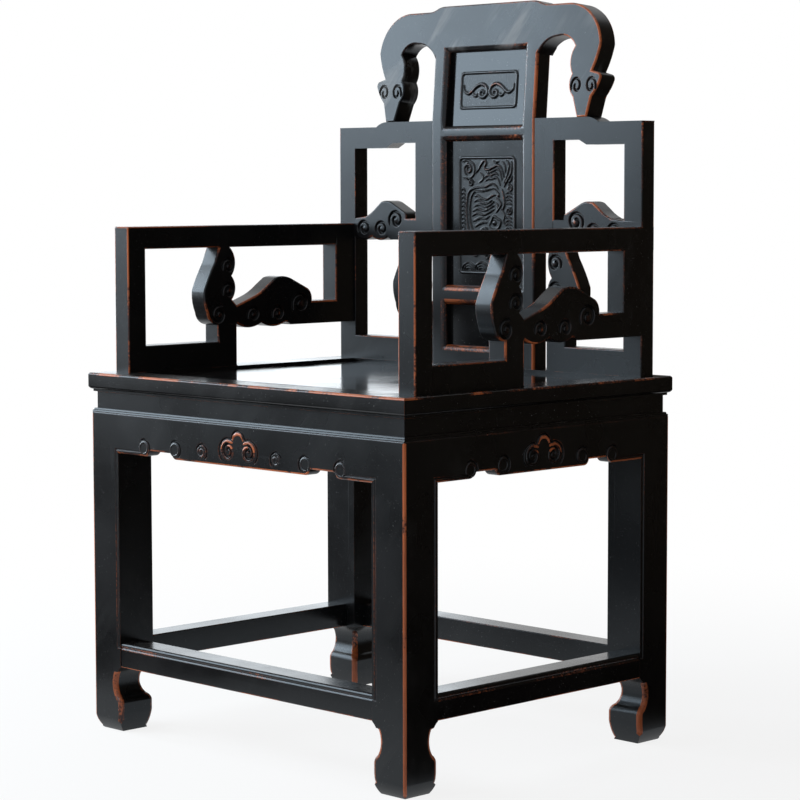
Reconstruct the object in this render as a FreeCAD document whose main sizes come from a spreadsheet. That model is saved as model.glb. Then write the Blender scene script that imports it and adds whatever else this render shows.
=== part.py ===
"""Taishi chair: a black-lacquered Chinese armchair of mitred frames, waisted seat and carved cloud work.

Millimetres, +Z up. The origin is on the floor under the middle of the seat, the chair faces -Y and +X is
on the right of someone who looks at its front.
"""
import FreeCAD, Part
import math
import os

from types import SimpleNamespace

import Sketcher

Vector = FreeCAD.Vector

# Driving dimensions

SIZES = {
    # base: four legs with hoof feet, stretchers and aprons
    "base_width": 622.5,
    "base_depth": 508.5,
    "leg_size": 58.5,
    "foot_inset": 9,
    "foot_round": 30,
    "foot_swell": 3.5,
    "toe_height": 40,
    "toe_inset": 7,
    "toe_swell": 2.6,
    "hoof_lip": 10,
    "hoof_lip_depth": 6,
    "hoof_hollow": 9,
    "stretcher_top": 127,
    "stretcher_height": 34.5,
    "stretcher_depth": 38,
    "stretcher_inset": 1,
    "stretcher_tenon": 26,
    "stretcher_bead": 4,
    "stretcher_groove": 1.5,
    "apron_height": 55.5,
    "apron_thickness": 22,
    "apron_notch_offset": 57.75,
    "front_notch_length": 67,
    "side_notch_length": 58,
    "notch_rise": 8,
    "lobe_width": 10,
    "lobe_swell": 2.5,
    # waist and seat
    "waist_height": 28,
    "waist_inset": 6,
    "waist_thickness": 14,
    "waist_bead": 4,
    "seat_height": 502.5,
    "seat_thickness": 26,
    "seat_overhang": 3,
    "seat_rail_width": 50,
    "seat_edge_face": 15,
    "seat_edge_curve": 8,
    "seat_edge_inset": 5,
    "seat_edge_swell": 2.2,
    "seat_panel_drop": 4.5,
    "seat_panel_thickness": 12,
    "seat_tongue": 8,
    "seat_tongue_height": 6,
    "batten_width": 34,
    "batten_height": 16,
    "batten_spread": 176,
    "batten_rebate": 2,
    "batten_tenon": 12,
    "corner_tenon_width": 10,
    "corner_tenon_inset": 10,
    "corner_tenon_setback": 7,
    # arms
    "arm_inset": 17,
    "arm_thickness": 30,
    "arm_height": 203,
    "arm_setback": 35.5,
    "arm_bar": 31.5,
    "arm_foot_bar": 36,
    "arm_post_run": 199.75,
    "arm_mid_level": 55.5,
    "arm_mid_bar": 33.5,
    "arm_rear_bar": 37,
    "arm_lap": 12,
    "arm_cloud_length": 148,
    "arm_cloud_crown": 71.5,
    "arm_cloud_root": 32,
    # cloud posts
    "cloud_post_width": 36,
    "cloud_foot": 60,
    "cloud_reach": 64,
    "cloud_throat": 22,
    "back_cloud_lift": 8,
    # back frames
    "back_setback": 46,
    "back_inset": 17.25,
    "back_thickness": 26,
    "back_height": 346,
    "back_step": 7,
    "back_stile": 33,
    "back_bar": 31,
    "back_foot_bar": 35,
    "back_return_level": 179.5,
    "back_return_bar": 31.5,
    "back_inner_stile": 36,
    "back_post_gap": 22,
    "back_cloud_length": 108,
    "back_cloud_crown": 57.5,
    "back_cloud_root": 32,
    # splat
    "splat_half": 101,
    "splat_stile": 26,
    "splat_proud": 1.5,
    "splat_thickness": 28,
    "splat_foot": 28,
    "lower_rail_level": 87,
    "lower_rail": 28,
    "upper_rail_level": 323,
    "upper_rail": 22,
    "panel_recess": 12,
    "panel_thickness": 10,
    "panel_tongue": 7,
    "crest_groove": 10,
    "opening_bevel": 5,
    # crest rail
    "head_lean": 4.3,
    "crest_thickness": 32,
    "crest_height": 165.5,
    "crest_half": 216.8,
    "crest_plateau": 86,
    "crest_shoulder_drop": 7,
    "crest_ogee": 16,
    "crest_ogee_rise": 0.9,
    "crest_shoulder": 153.5,
    "crest_shoulder_rise": 17,
    "crest_notch": 13.5,
    "crest_turn": 101,
    "crest_opening": 99,
    "neck_outer": 197,
    "neck_inner": 179,
    "neck_flare": 7,
    "neck_foot": 28,
    "ear_height": 52,
    "ear_top": 8,
    "ear_lip": 3.5,
    "ear_hollow": 1.5,
    "inner_flare": 9.5,
    "inner_lobe": 13,
    "inner_lobe_rise": 6,
    "ear_reach": 219.5,
    "arch_spring": 90.5,
    "arch_height": 113,
    "arch_middle": 137.5,
    "arch_side": 169.5,
    # joinery
    "tenon_thickness": 12,
    "tenon_length": 14,
    "tenon_width": 16,
    "tenon_shoulder": 4,
    "tenon_clearance": 1,
}

doc = FreeCAD.newDocument("TaishiChair")
sheet = doc.addObject("Spreadsheet::Sheet", "Sizes")
for row, (alias, value) in enumerate(SIZES.items(), 1):
    sheet.set(f"A{row}", alias.replace("_", " "))
    sheet.set(f"B{row}", str(value))
    sheet.setAlias(f"B{row}", alias)
doc.recompute()


# Lengths that stay bound to the sheet

class Length:
    """A number with the expression that works it out from the sheet."""

    def __init__(self, number, text):
        self.number = number
        self.text = text

    def __add__(self, other):
        other = length(other)
        return Length(self.number + other.number, f"({self.text} + {other.text})")

    def __sub__(self, other):
        other = length(other)
        return Length(self.number - other.number, f"({self.text} - {other.text})")

    def __mul__(self, other):
        other = length(other)
        return Length(self.number * other.number, f"({self.text} * {other.text})")

    def __truediv__(self, other):
        other = length(other)
        return Length(self.number / other.number, f"({self.text} / {other.text})")

    def __neg__(self):
        return length(0) - self

    def __radd__(self, other):
        return length(other) + self

    def __rsub__(self, other):
        return length(other) - self

    def __rmul__(self, other):
        return length(other) * self


def length(value):
    return value if isinstance(value, Length) else Length(float(value), f"({value})")


def trig(function, angle):
    """The sine, cosine or tangent of an angle in degrees."""
    number = getattr(math, function)(math.radians(angle.number))
    return Length(number, f"{function}({angle.text} * 1 deg)")


def bind(item, path, value):
    item.setExpression(path, length(value).text)


S = SimpleNamespace(**{alias: Length(sheet.get(alias), f"Sizes.{alias}") for alias in SIZES})


# Modelling helpers

parts = {}


def node(label, item):
    """Names a finished sub-part."""
    item.Label = label
    parts[label] = item
    return item


def block(name, x, y, z):
    """A box between two planes along each axis."""
    box = doc.addObject("Part::Box", name)
    for size, axis, (low, high) in zip(("Length", "Width", "Height"), "xyz", (x, y, z)):
        bind(box, size, length(high) - low)
        bind(box, f"Placement.Base.{axis}", low)
    return box


def middle(low, high, size):
    """The two planes of a strip of a size, centred between two others."""
    centre = (length(low) + high) / 2
    return centre - size / 2, centre + size / 2


def boolean(kind, name, base, tool):
    item = doc.addObject(f"Part::{kind}", name)
    item.Base = base
    item.Tool = tool
    item.Refine = True
    return item


def fuse(name, first, *others):
    for index, other in enumerate(others):
        first = boolean("Fuse", f"{name}_fused_{index}", first, other)
    return first


def cut(name, first, *tools):
    for index, tool in enumerate(tools):
        first = boolean("Cut", f"{name}_cut_{index}", first, tool)
    return first


def common(name, first, second):
    return boolean("Common", name, first, second)


def mirror(name, source, normal):
    item = doc.addObject("Part::Mirroring", name)
    item.Source = source
    item.Normal = normal
    return item


def mirror_node(label, source, normal):
    return node(label, mirror(label, source, normal))


# Rise of a quarter circle over its chord, as a share of its radius
QUARTER_RISE = 1 - math.sqrt(0.5)

ACROSS = Vector(1, 0, 0)
FORE_AND_AFT = Vector(0, 1, 0)


def draw_edge(sketch, start, end, rise):
    """Adds a line, or an arc that rises to the left of its chord. Returns its start and end point numbers."""
    ax, ay, bx, by = (value.number for value in (*start, *end))
    if not rise.number:
        sketch.addGeometry(Part.LineSegment(Vector(ax, ay), Vector(bx, by)))
        return 1, 2
    chord = math.hypot(bx - ax, by - ay)
    radius = (chord * chord / 4 + rise.number ** 2) / (2 * rise.number)
    off = rise.number - radius
    centre = Vector((ax + bx) / 2 - off * (by - ay) / chord, (ay + by) / 2 + off * (bx - ax) / chord)
    angles = [math.atan2(y - centre.y, x - centre.x) for x, y in ((ax, ay), (bx, by))]
    clockwise = rise.number > 0
    if clockwise:
        angles.reverse()
    circle = Part.Circle(centre, Vector(0, 0, 1), abs(radius))
    sketch.addGeometry(Part.ArcOfCircle(circle, angles[0], angles[1]))
    return (2, 1) if clockwise else (1, 2)


def draw(sketch, path):
    """A closed outline with every corner and radius bound to the sheet.

    A step is a corner (u, v), or (u, v, rise) where an arc leads to it from the corner before.
    """
    steps = [tuple(length(value) for value in (*step, 0)[:3]) for step in path]
    ends = []
    for index, (u, v, rise) in enumerate(steps):
        before = steps[index - 1]
        ends.append(draw_edge(sketch, before[:2], (u, v), rise))
    for index, (u, v, rise) in enumerate(steps):
        after = (index + 1) % len(steps)
        sketch.addConstraint(Sketcher.Constraint("Coincident", index, ends[index][1], after, ends[after][0]))
        for axis, place in (("DistanceX", u), ("DistanceY", v)):
            rule = Sketcher.Constraint(axis, -1, 1, index, ends[index][1], place.number)
            number = sketch.addConstraint(rule)
            bind(sketch, f"Constraints[{number}]", place)
        if rise.number:
            du = u - steps[index - 1][0]
            dv = v - steps[index - 1][1]
            swell = rise if rise.number > 0 else -rise
            radius = ((du * du + dv * dv) / 4 + swell * swell) / (2 * swell)
            number = sketch.addConstraint(Sketcher.Constraint("Radius", index, radius.number))
            bind(sketch, f"Constraints[{number}]", radius)


def outline(name, plane, path, low, high):
    """A body padded from an outline on one of its origin planes, between two planes along its normal."""
    body = doc.addObject("PartDesign::Body", name)
    sketch = body.newObject("Sketcher::SketchObject", f"{name}_sketch")
    origin = next(item for item in body.Origin.OriginFeatures if item.Role == plane)
    sketch.AttachmentSupport = [(origin, "")]
    sketch.MapMode = "FlatFace"
    bind(sketch, "AttachmentOffset.Base.z", -length(high) if plane == "XZ_Plane" else low)
    draw(sketch, path)
    pad = body.newObject("PartDesign::Pad", f"{name}_pad")
    pad.Profile = sketch
    bind(pad, "Length", length(high) - low)
    return body


def both_halves(half):
    """A whole outline from its right half, drawn from the top middle round to the bottom middle."""
    steps = [(*step, 0)[:3] for step in half]
    after = steps[1:] + [(0, 0, 0)]
    return steps + [(-step[0], step[1], later[2]) for step, later in reversed(list(zip(steps, after)))]


# Shared places

SEAT = S.seat_height
half_width = S.base_width / 2
half_depth = S.base_depth / 2
leg_inner_x = half_width - S.leg_size
leg_inner_y = half_depth - S.leg_size
seat_bottom = SEAT - S.seat_thickness
apron_top = seat_bottom - S.waist_height
apron_bottom = apron_top - S.apron_height
stretcher_bottom = S.stretcher_top - S.stretcher_height
seat_half_width = half_width + S.seat_overhang
seat_half_depth = half_depth + S.seat_overhang
mortise_floor = SEAT - S.tenon_length
arm_outer = seat_half_width - S.arm_inset
arm_inner = arm_outer - S.arm_thickness
arm_front = S.arm_setback - seat_half_depth
arm_top = SEAT + S.arm_height
arm_post_rear = arm_front + S.arm_post_run
back_front = seat_half_depth - S.back_setback
back_rear = back_front + S.back_thickness
back_outer = seat_half_width - S.back_inset
splat_front = back_front - S.splat_proud
splat_rear = splat_front + S.splat_thickness
splat_inner = S.splat_half - S.splat_stile
side_top = SEAT + S.back_height
head_base = side_top + S.back_step


def sideways(face, profile):
    """A section, drawn from an outer face inwards, turned to the right side of the chair."""
    return [(face - step[0], step[1], -length((*step, 0)[2])) for step in profile]


def frontways(face, profile):
    """The same section, turned to the front of the chair."""
    return [(step[0] - face, step[1], (*step, 0)[2]) for step in profile]


def mitred_ring(name, profile, half_x, half_y, width, low, high):
    """The front and right members of a ring with one section, mitred in plan at its corners."""
    front_plan = [(-half_x, -half_y), (half_x, -half_y), (half_x - width, width - half_y),
                  (width - half_x, width - half_y)]
    right_plan = [(half_x, -half_y), (half_x, half_y), (half_x - width, half_y - width),
                  (half_x - width, width - half_y)]
    front = common(f"{name}_front_blank",
                   outline(f"{name}_front_section", "YZ_Plane", frontways(half_y, profile), -half_x, half_x),
                   outline(f"{name}_front_plan", "XY_Plane", front_plan, low, high))
    right = common(f"{name}_right_blank",
                   outline(f"{name}_right_section", "XZ_Plane", sideways(half_x, profile), -half_y, half_y),
                   outline(f"{name}_right_plan", "XY_Plane", right_plan, low, high))
    return front, right


# Stretchers, level all round, with a bead along the top outer edge

def make_stretchers():
    bead = S.stretcher_bead
    groove = S.stretcher_groove
    top = S.stretcher_top
    bead_foot = top - bead - groove
    profile = [
        (0, stretcher_bottom),
        (S.stretcher_depth, stretcher_bottom),
        (S.stretcher_depth, top),
        (bead, top),
        (0, top - bead, -QUARTER_RISE * bead),
        (0, bead_foot),
        (groove, bead_foot - groove),
        (0, bead_foot - 2 * groove),
    ]
    face_x = half_width - S.stretcher_inset
    face_y = half_depth - S.stretcher_inset
    tenon_z = middle(stretcher_bottom, top, S.stretcher_height / 2)
    deep = leg_inner_x + S.stretcher_tenon
    front = outline("stretcher_front_bar", "YZ_Plane", frontways(face_y, profile), -leg_inner_x, leg_inner_x)
    front_tenon = block("stretcher_front_tenon", (-deep, deep),
                        middle(-face_y, S.stretcher_depth - face_y, S.tenon_thickness), tenon_z)
    deep = leg_inner_y + S.stretcher_tenon
    right = outline("stretcher_right_bar", "XZ_Plane", sideways(face_x, profile), -leg_inner_y, leg_inner_y)
    right_tenon = block("stretcher_right_tenon",
                        middle(face_x - S.stretcher_depth, face_x, S.tenon_thickness), (-deep, deep), tenon_z)
    front = node("stretcher_front", fuse("stretcher_front", front, front_tenon))
    right = node("stretcher_right", fuse("stretcher_right", right, right_tenon))
    mirror_node("stretcher_rear", front, FORE_AND_AFT)
    mirror_node("stretcher_left", right, ACROSS)


# Aprons, mitred into the leg shoulders, with a stepped and lobed lower edge

def apron_half(half_top, half_foot, notch_length):
    outer_lobe = half_foot - S.apron_notch_offset
    inner_lobe = outer_lobe - notch_length
    notch_top = apron_bottom + S.notch_rise
    return [
        (half_top, apron_top),
        (half_foot, apron_bottom),
        (outer_lobe, apron_bottom),
        (outer_lobe - S.lobe_width, notch_top, S.lobe_swell),
        (inner_lobe + S.lobe_width, notch_top),
        (inner_lobe, apron_bottom, S.lobe_swell),
    ]


def make_aprons():
    thick = S.apron_thickness
    face = [(0, apron_bottom), (thick, apron_bottom), (thick, apron_top), (0, apron_top)]
    front_blank, right_blank = mitred_ring("apron", face, half_width, half_depth, thick,
                                           apron_bottom, apron_top)
    front_edge = outline("apron_front_edge", "XZ_Plane",
                         both_halves(apron_half(half_width, leg_inner_x, S.front_notch_length)),
                         -half_depth, thick - half_depth)
    right_edge = outline("apron_right_edge", "YZ_Plane",
                         both_halves(apron_half(half_depth, leg_inner_y, S.side_notch_length)),
                         half_width - thick, half_width)
    front = node("apron_front", common("apron_front_shaped", front_blank, front_edge))
    right = node("apron_right", common("apron_right_shaped", right_blank, right_edge))
    mirror_node("apron_rear", front, FORE_AND_AFT)
    mirror_node("apron_left", right, ACROSS)


# Legs, square with hoof feet, cut for the apron mitres and the stretchers

def leg_path(outer, inner, side):
    hoof_lip = S.toe_height + S.hoof_lip
    half = [
        (inner + S.toe_inset, 0, -S.toe_swell),
        (outer - S.foot_inset, 0),
        (outer, S.foot_round, -S.foot_swell),
        (outer, apron_top),
        (inner, apron_top),
        (inner, stretcher_bottom),
        (inner + S.hoof_lip_depth, hoof_lip, S.hoof_hollow),
        (inner, S.toe_height, -S.hoof_lip_depth / 4),
    ]
    return [(side * step[0], step[1], side * length((*step, 0)[2])) for step in half]


def make_legs():
    shaft = common("leg_shaft",
                   outline("leg_front_profile", "XZ_Plane", leg_path(half_width, leg_inner_x, 1),
                           -half_depth, -leg_inner_y),
                   outline("leg_side_profile", "YZ_Plane", leg_path(half_depth, leg_inner_y, -1),
                           leg_inner_x, half_width))
    back_of_waist = S.waist_inset + S.waist_thickness
    neck_x = half_width - back_of_waist
    neck_y = half_depth - back_of_waist
    neck = block("leg_neck", (leg_inner_x, neck_x), (-neck_y, -leg_inner_y), (apron_top, seat_bottom))
    tenon = block("leg_tenon", (neck_x - S.tenon_width, neck_x), (-neck_y, S.tenon_width - neck_y),
                  (seat_bottom, mortise_floor - S.tenon_clearance))
    blank = fuse("leg", shaft, neck, tenon)
    leg = cut("leg", blank, *(parts[name] for name in
                              ("apron_front", "apron_right", "stretcher_front", "stretcher_right")))
    node("leg_front_right", leg)
    mirror_node("leg_front_left", leg, ACROSS)
    mirror_node("leg_rear_right", leg, FORE_AND_AFT)
    mirror_node("leg_rear_left", parts["leg_rear_right"], ACROSS)


# Waist boards, recessed between the aprons and the seat, with a small bead at the foot

def make_waists():
    bead = S.waist_bead
    inset = S.waist_inset
    rear = inset + S.waist_thickness
    profile = [
        (rear, apron_top),
        (rear, seat_bottom),
        (inset, seat_bottom),
        (inset, apron_top + bead),
        (inset - bead, apron_top, -QUARTER_RISE * bead),
    ]
    front, right = mitred_ring("waist", profile, half_width, half_depth, rear, apron_top, seat_bottom)
    node("waist_front", front)
    node("waist_right", right)
    mirror_node("waist_rear", front, FORE_AND_AFT)
    mirror_node("waist_left", right, ACROSS)


# Seat panel, let into grooves below the level of its frame, and the battens under it

def make_seat_panel():
    x = seat_half_width - S.seat_rail_width
    y = seat_half_depth - S.seat_rail_width
    top = SEAT - S.seat_panel_drop
    bottom = top - S.seat_panel_thickness
    board = block("seat_panel_board", (-x, x), (-y, y), (bottom, top))
    tongue = block("seat_panel_tongue", (-x - S.seat_tongue, x + S.seat_tongue),
                   (-y - S.seat_tongue, y + S.seat_tongue), (bottom, bottom + S.seat_tongue_height))
    node("seat_panel", fuse("seat_panel", board, tongue))
    place = middle(S.batten_spread / 2, S.batten_spread / 2, S.batten_width)
    bar = block("seat_batten_bar", place, (-y, y), (bottom - S.batten_height, bottom))
    end = S.batten_tenon
    tenon = block("seat_batten_tenon", place, (-y - end, y + end), (seat_bottom + S.batten_rebate, bottom))
    right = node("seat_batten_right", fuse("seat_batten", bar, tenon))
    mirror_node("seat_batten_left", right, ACROSS)


def cloud_post(edge, side, floor, foot_bar, top, lift=0):
    """A short post that grows into a standing cloud: mitred foot, belly on one side, two lobes on the other.

    The points of the cloud are in 64ths of its reach. The belly can be lifted.
    """
    scale = S.cloud_reach / 64
    base = floor + S.cloud_foot
    belly = base + lift
    shape = [
        (0, floor),
        (S.cloud_post_width, floor + foot_bar),
        (S.cloud_post_width, base),
        (56 * scale, belly + 18 * scale, -5 * scale),
        (61.5 * scale, belly + 50 * scale, -2.2 * scale),
        (41.5 * scale, top - S.cloud_throat, -1 * scale),
        (33 * scale, top),
        (12 * scale, top),
        (9 * scale, base + 70 * scale, -8.5 * scale),
        (8.5 * scale, base + 36 * scale, -7 * scale),
        (0, base + 27.5 * scale),
    ]
    return [(edge + side * step[0], step[1], side * length((*step, 0)[2])) for step in shape]


def cloud_rail(edge, side, reach, crown, root, level, bar, corner_outer, corner_inner):
    """A rail that ends in a lying cloud, with its other end mitred into a post.

    The points of the cloud are in 148ths of its reach along the rail and 72nds of its crown above it.
    """
    along = side * reach / 148
    up = crown / 72
    swell = side * up
    return [
        (edge, level + 5 * up),
        (edge + 48 * along, level + 5 * up, -6.5 * swell),
        (edge + 94 * along, level + 4 * up, -6 * swell),
        (edge + 104 * along, level, 1 * swell),
        (corner_outer, level),
        (corner_inner, level + bar),
        (edge + 148 * along, level + bar),
        (edge + 140 * along, level + 53 * up, -3 * swell),
        (edge + 110 * along, level + 67 * up),
        (edge + 75 * along, level + 70 * up, -3.5 * swell),
        (edge + 59 * along, level + 59 * up),
        (edge + 30 * along, level + 43 * up, 1.5 * swell),
        (edge, level + root),
    ]


# Arms: a mitred frame on each side, open but for the two clouds

def make_arms():
    x = (arm_inner, arm_outer)
    tenon_x = middle(arm_inner, arm_outer, S.tenon_thickness)
    under = arm_top - S.arm_bar
    level = SEAT + S.arm_mid_level
    post_front = arm_front + S.arm_bar
    post_inner = arm_post_rear - S.cloud_post_width
    rear_front = back_front - S.arm_rear_bar
    foot_top = SEAT + S.arm_foot_bar
    socket = (under, under + S.tenon_length)

    cloud = outline("arm_cloud_post_bar", "YZ_Plane",
                    cloud_post(arm_post_rear, -1, SEAT, S.arm_foot_bar, under), *x)
    cloud_foot = block("arm_cloud_post_foot", tenon_x, middle(post_inner, arm_post_rear, S.tenon_width),
                       (mortise_floor, SEAT + S.arm_foot_bar / 2))
    cloud_head = block("arm_cloud_post_head", tenon_x,
                       (arm_post_rear - S.cloud_reach / 2, arm_post_rear - S.cloud_reach / 4), socket)
    cloud = node("arm_cloud_post_right", fuse("arm_cloud_post", cloud, cloud_foot, cloud_head))

    rail = outline("arm_foot_rail_bar", "YZ_Plane",
                   [(post_front, SEAT), (arm_post_rear, SEAT), (post_inner, foot_top),
                    (post_front, foot_top)], *x)
    rail_tenon = block("arm_foot_rail_tenon", tenon_x, (post_front - S.tenon_length, post_front),
                       middle(SEAT, foot_top, S.tenon_width))
    foot_rail = cut("arm_foot_rail", fuse("arm_foot_rail", rail, rail_tenon), cloud)
    node("arm_foot_rail_right", foot_rail)

    post = outline("arm_front_post_bar", "YZ_Plane",
                   [(arm_front, SEAT), (post_front, SEAT), (post_front, under), (arm_front, arm_top)], *x)
    post_foot = block("arm_front_post_foot", tenon_x, middle(arm_front, post_front, S.tenon_width),
                      (mortise_floor, SEAT))
    post_head = block("arm_front_post_head", tenon_x, middle(arm_front, post_front, S.tenon_width), socket)
    post = cut("arm_front_post", fuse("arm_front_post", post, post_foot, post_head), foot_rail)
    post = node("arm_front_post_right", post)

    rear = outline("arm_rear_post_bar", "YZ_Plane",
                   [(back_front, level), (back_front, under), (rear_front, under),
                    (rear_front, level + S.arm_mid_bar)], *x)
    rear_head = block("arm_rear_post_head", tenon_x, middle(rear_front, back_front, S.tenon_width), socket)
    rear = node("arm_rear_post_right", fuse("arm_rear_post", rear, rear_head))

    shape = cloud_rail(arm_post_rear, 1, S.arm_cloud_length, S.arm_cloud_crown, S.arm_cloud_root, level,
                       S.arm_mid_bar, back_front, rear_front)
    node("arm_cloud_rail_right", outline("arm_cloud_rail_bar", "YZ_Plane", shape, *x))

    top = outline("arm_top_rail_bar", "YZ_Plane",
                  [(arm_front, arm_top), (post_front, under), (back_front, under), (back_front, arm_top)], *x)
    lap = block("arm_top_rail_lap", (arm_outer - S.arm_lap, arm_outer), (back_front, back_rear),
                (under, arm_top))
    top = cut("arm_top_rail", fuse("arm_top_rail", top, lap), post, cloud, rear)
    node("arm_top_rail_right", top)

    for name in ("front_post", "foot_rail", "cloud_post", "rear_post", "cloud_rail", "top_rail"):
        mirror_node(f"arm_{name}_left", parts[f"arm_{name}_right"], ACROSS)


# Back frames: one on each side of the splat, turned in on themselves and ending in clouds

def make_back_frames():
    y = (back_front, back_rear)
    tenon_y = middle(back_front, back_rear, S.tenon_thickness)
    stile_inner = back_outer - S.back_stile
    under = side_top - S.back_bar
    inner_edge = S.splat_half + S.back_inner_stile
    inner_under = under + S.back_step
    level = SEAT + S.back_return_level
    level_top = level + S.back_return_bar
    foot_top = SEAT + S.back_foot_bar
    post_edge = S.splat_half + S.back_post_gap
    post_outer = post_edge + S.cloud_post_width
    foot = (mortise_floor, SEAT + S.back_foot_bar / 2)

    cloud = outline("back_cloud_post_bar", "XZ_Plane",
                    cloud_post(post_edge, 1, SEAT, S.back_foot_bar, level, S.back_cloud_lift), *y)
    cloud_foot = block("back_cloud_post_foot", middle(post_edge, post_outer, S.tenon_width), tenon_y, foot)
    cloud_head = block("back_cloud_post_head", (post_edge + S.cloud_reach / 4, post_edge + S.cloud_reach / 2),
                       tenon_y, (level, level + S.tenon_length))
    cloud = node("back_cloud_post_right", fuse("back_cloud_post", cloud, cloud_foot, cloud_head))

    inner = outline("back_inner_stile_bar", "XZ_Plane",
                    [(S.splat_half, level), (inner_edge, level_top), (inner_edge, inner_under),
                     (S.splat_half, head_base)], *y)
    inner_head = block("back_inner_stile_head", middle(S.splat_half, inner_edge, S.tenon_width), tenon_y,
                       (inner_under, inner_under + S.tenon_length))
    inner_foot = block("back_inner_stile_foot", middle(S.splat_half, inner_edge, S.tenon_width), tenon_y,
                       (level_top - S.tenon_length, level_top))
    inner = node("back_inner_stile_right", fuse("back_inner_stile", inner, inner_head, inner_foot))

    shape = cloud_rail(stile_inner, -1, S.back_cloud_length, S.back_cloud_crown, S.back_cloud_root, level,
                       S.back_return_bar, S.splat_half, inner_edge)
    rail = outline("back_cloud_rail_bar", "XZ_Plane", shape, *y)
    rail_tenon = block("back_cloud_rail_tenon", (stile_inner, stile_inner + S.tenon_length), tenon_y,
                       middle(level, level + S.back_return_bar, S.tenon_thickness))
    rail = cut("back_cloud_rail", fuse("back_cloud_rail", rail, rail_tenon), cloud, inner)
    rail = node("back_cloud_rail_right", rail)

    stile = outline("back_outer_stile_bar", "XZ_Plane",
                    [(back_outer, SEAT), (back_outer, side_top), (stile_inner, under),
                     (stile_inner, foot_top)], *y)
    stile_foot = block("back_outer_stile_foot", middle(stile_inner, back_outer, S.tenon_width), tenon_y, foot)
    stile_head = block("back_outer_stile_head", middle(stile_inner, back_outer, S.tenon_width), tenon_y,
                       (under, under + S.tenon_length))
    stile = fuse("back_outer_stile", stile, stile_foot, stile_head)
    stile = node("back_outer_stile_right", cut("back_outer_stile", stile, parts["arm_top_rail_right"], rail))

    foot_rail = outline("back_foot_rail_bar", "XZ_Plane",
                        [(post_edge, SEAT), (back_outer, SEAT), (stile_inner, foot_top),
                         (post_outer, foot_top)], *y)
    node("back_foot_rail_right", cut("back_foot_rail", foot_rail, cloud, stile))

    top = outline("back_top_rail_bar", "XZ_Plane",
                  [(back_outer, side_top), (S.neck_outer + 3 * S.back_step, side_top),
                   (S.neck_outer, head_base, -S.back_step / 4), (S.splat_half, head_base),
                   (inner_edge, inner_under), (S.neck_outer - 2 * S.back_step, inner_under),
                   (S.neck_outer, under), (stile_inner, under)], *y)
    node("back_top_rail_right", cut("back_top_rail", top, stile, inner, parts["crest_rail"]))

    for name in ("cloud_post", "inner_stile", "cloud_rail", "outer_stile", "foot_rail", "top_rail"):
        mirror_node(f"back_{name}_left", parts[f"back_{name}_right"], ACROSS)


# The head of the back leans a little: its pieces are drawn upright and tilted about the foot of the crest

def lean(item):
    item.Placement = FreeCAD.Placement(Vector(), FreeCAD.Rotation(Vector(-1, 0, 0), S.head_lean.number))
    bind(item, "Placement.Rotation.Angle", S.head_lean)
    bind(item, "Placement.Base.y", splat_front)
    bind(item, "Placement.Base.z", head_base)
    return item


def opening_bevel(name, low, high, front):
    """A frustum that bevels the front edges of an opening in the splat."""
    wedge = doc.addObject("Part::Wedge", name)
    wide = splat_inner + S.opening_bevel
    sizes = {
        "Xmin": -wide, "Xmax": wide, "X2min": -splat_inner, "X2max": splat_inner,
        "Ymin": front, "Ymax": front + S.opening_bevel,
        "Zmin": low - S.opening_bevel, "Zmax": high + S.opening_bevel, "Z2min": low, "Z2max": high,
    }
    for plane, value in sizes.items():
        bind(wedge, plane, value)
    return wedge


# Splat and crest rail: framed panels under a crest that comes down to the side frames on two carved necks

def crest_half_outline():
    shoulder = S.crest_height - S.crest_shoulder_drop
    ear_top = S.ear_height + S.ear_top
    return [
        (S.crest_plateau, S.crest_height),
        (S.crest_plateau + S.crest_ogee, S.crest_height - S.crest_shoulder_drop / 2, S.crest_ogee_rise),
        (S.crest_plateau + 2 * S.crest_ogee, shoulder, -S.crest_ogee_rise),
        (S.crest_shoulder, shoulder),
        (S.crest_half, S.crest_turn, S.crest_shoulder_rise),
        (S.crest_half - S.crest_notch, ear_top + S.ear_lip, S.ear_hollow),
        (S.ear_reach - S.ear_lip, ear_top),
        (S.ear_reach, S.ear_height, S.ear_hollow),
        (S.neck_outer + S.neck_flare, S.neck_foot, S.ear_hollow),
        (S.neck_outer, 0),
        (S.neck_inner, 0),
        (S.neck_inner - S.inner_flare, S.neck_foot),
        (S.neck_inner - S.inner_lobe, ear_top, S.inner_lobe_rise),
        (S.arch_side, S.arch_spring + S.ear_top, S.inner_lobe_rise),
        (S.arch_middle, S.arch_height, -S.inner_lobe_rise),
        (S.splat_half, S.arch_spring, -S.inner_lobe_rise),
        (S.splat_half, S.crest_opening + S.splat_stile),
        (splat_inner, S.crest_opening),
    ]


def splat_rails():
    """The level of the foot and top of each cross rail of the splat."""
    lower = SEAT + S.lower_rail_level
    upper = SEAT + S.upper_rail_level
    return {"foot": (SEAT, SEAT + S.splat_foot), "lower": (lower, lower + S.lower_rail),
            "upper": (upper, upper + S.upper_rail)}


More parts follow.
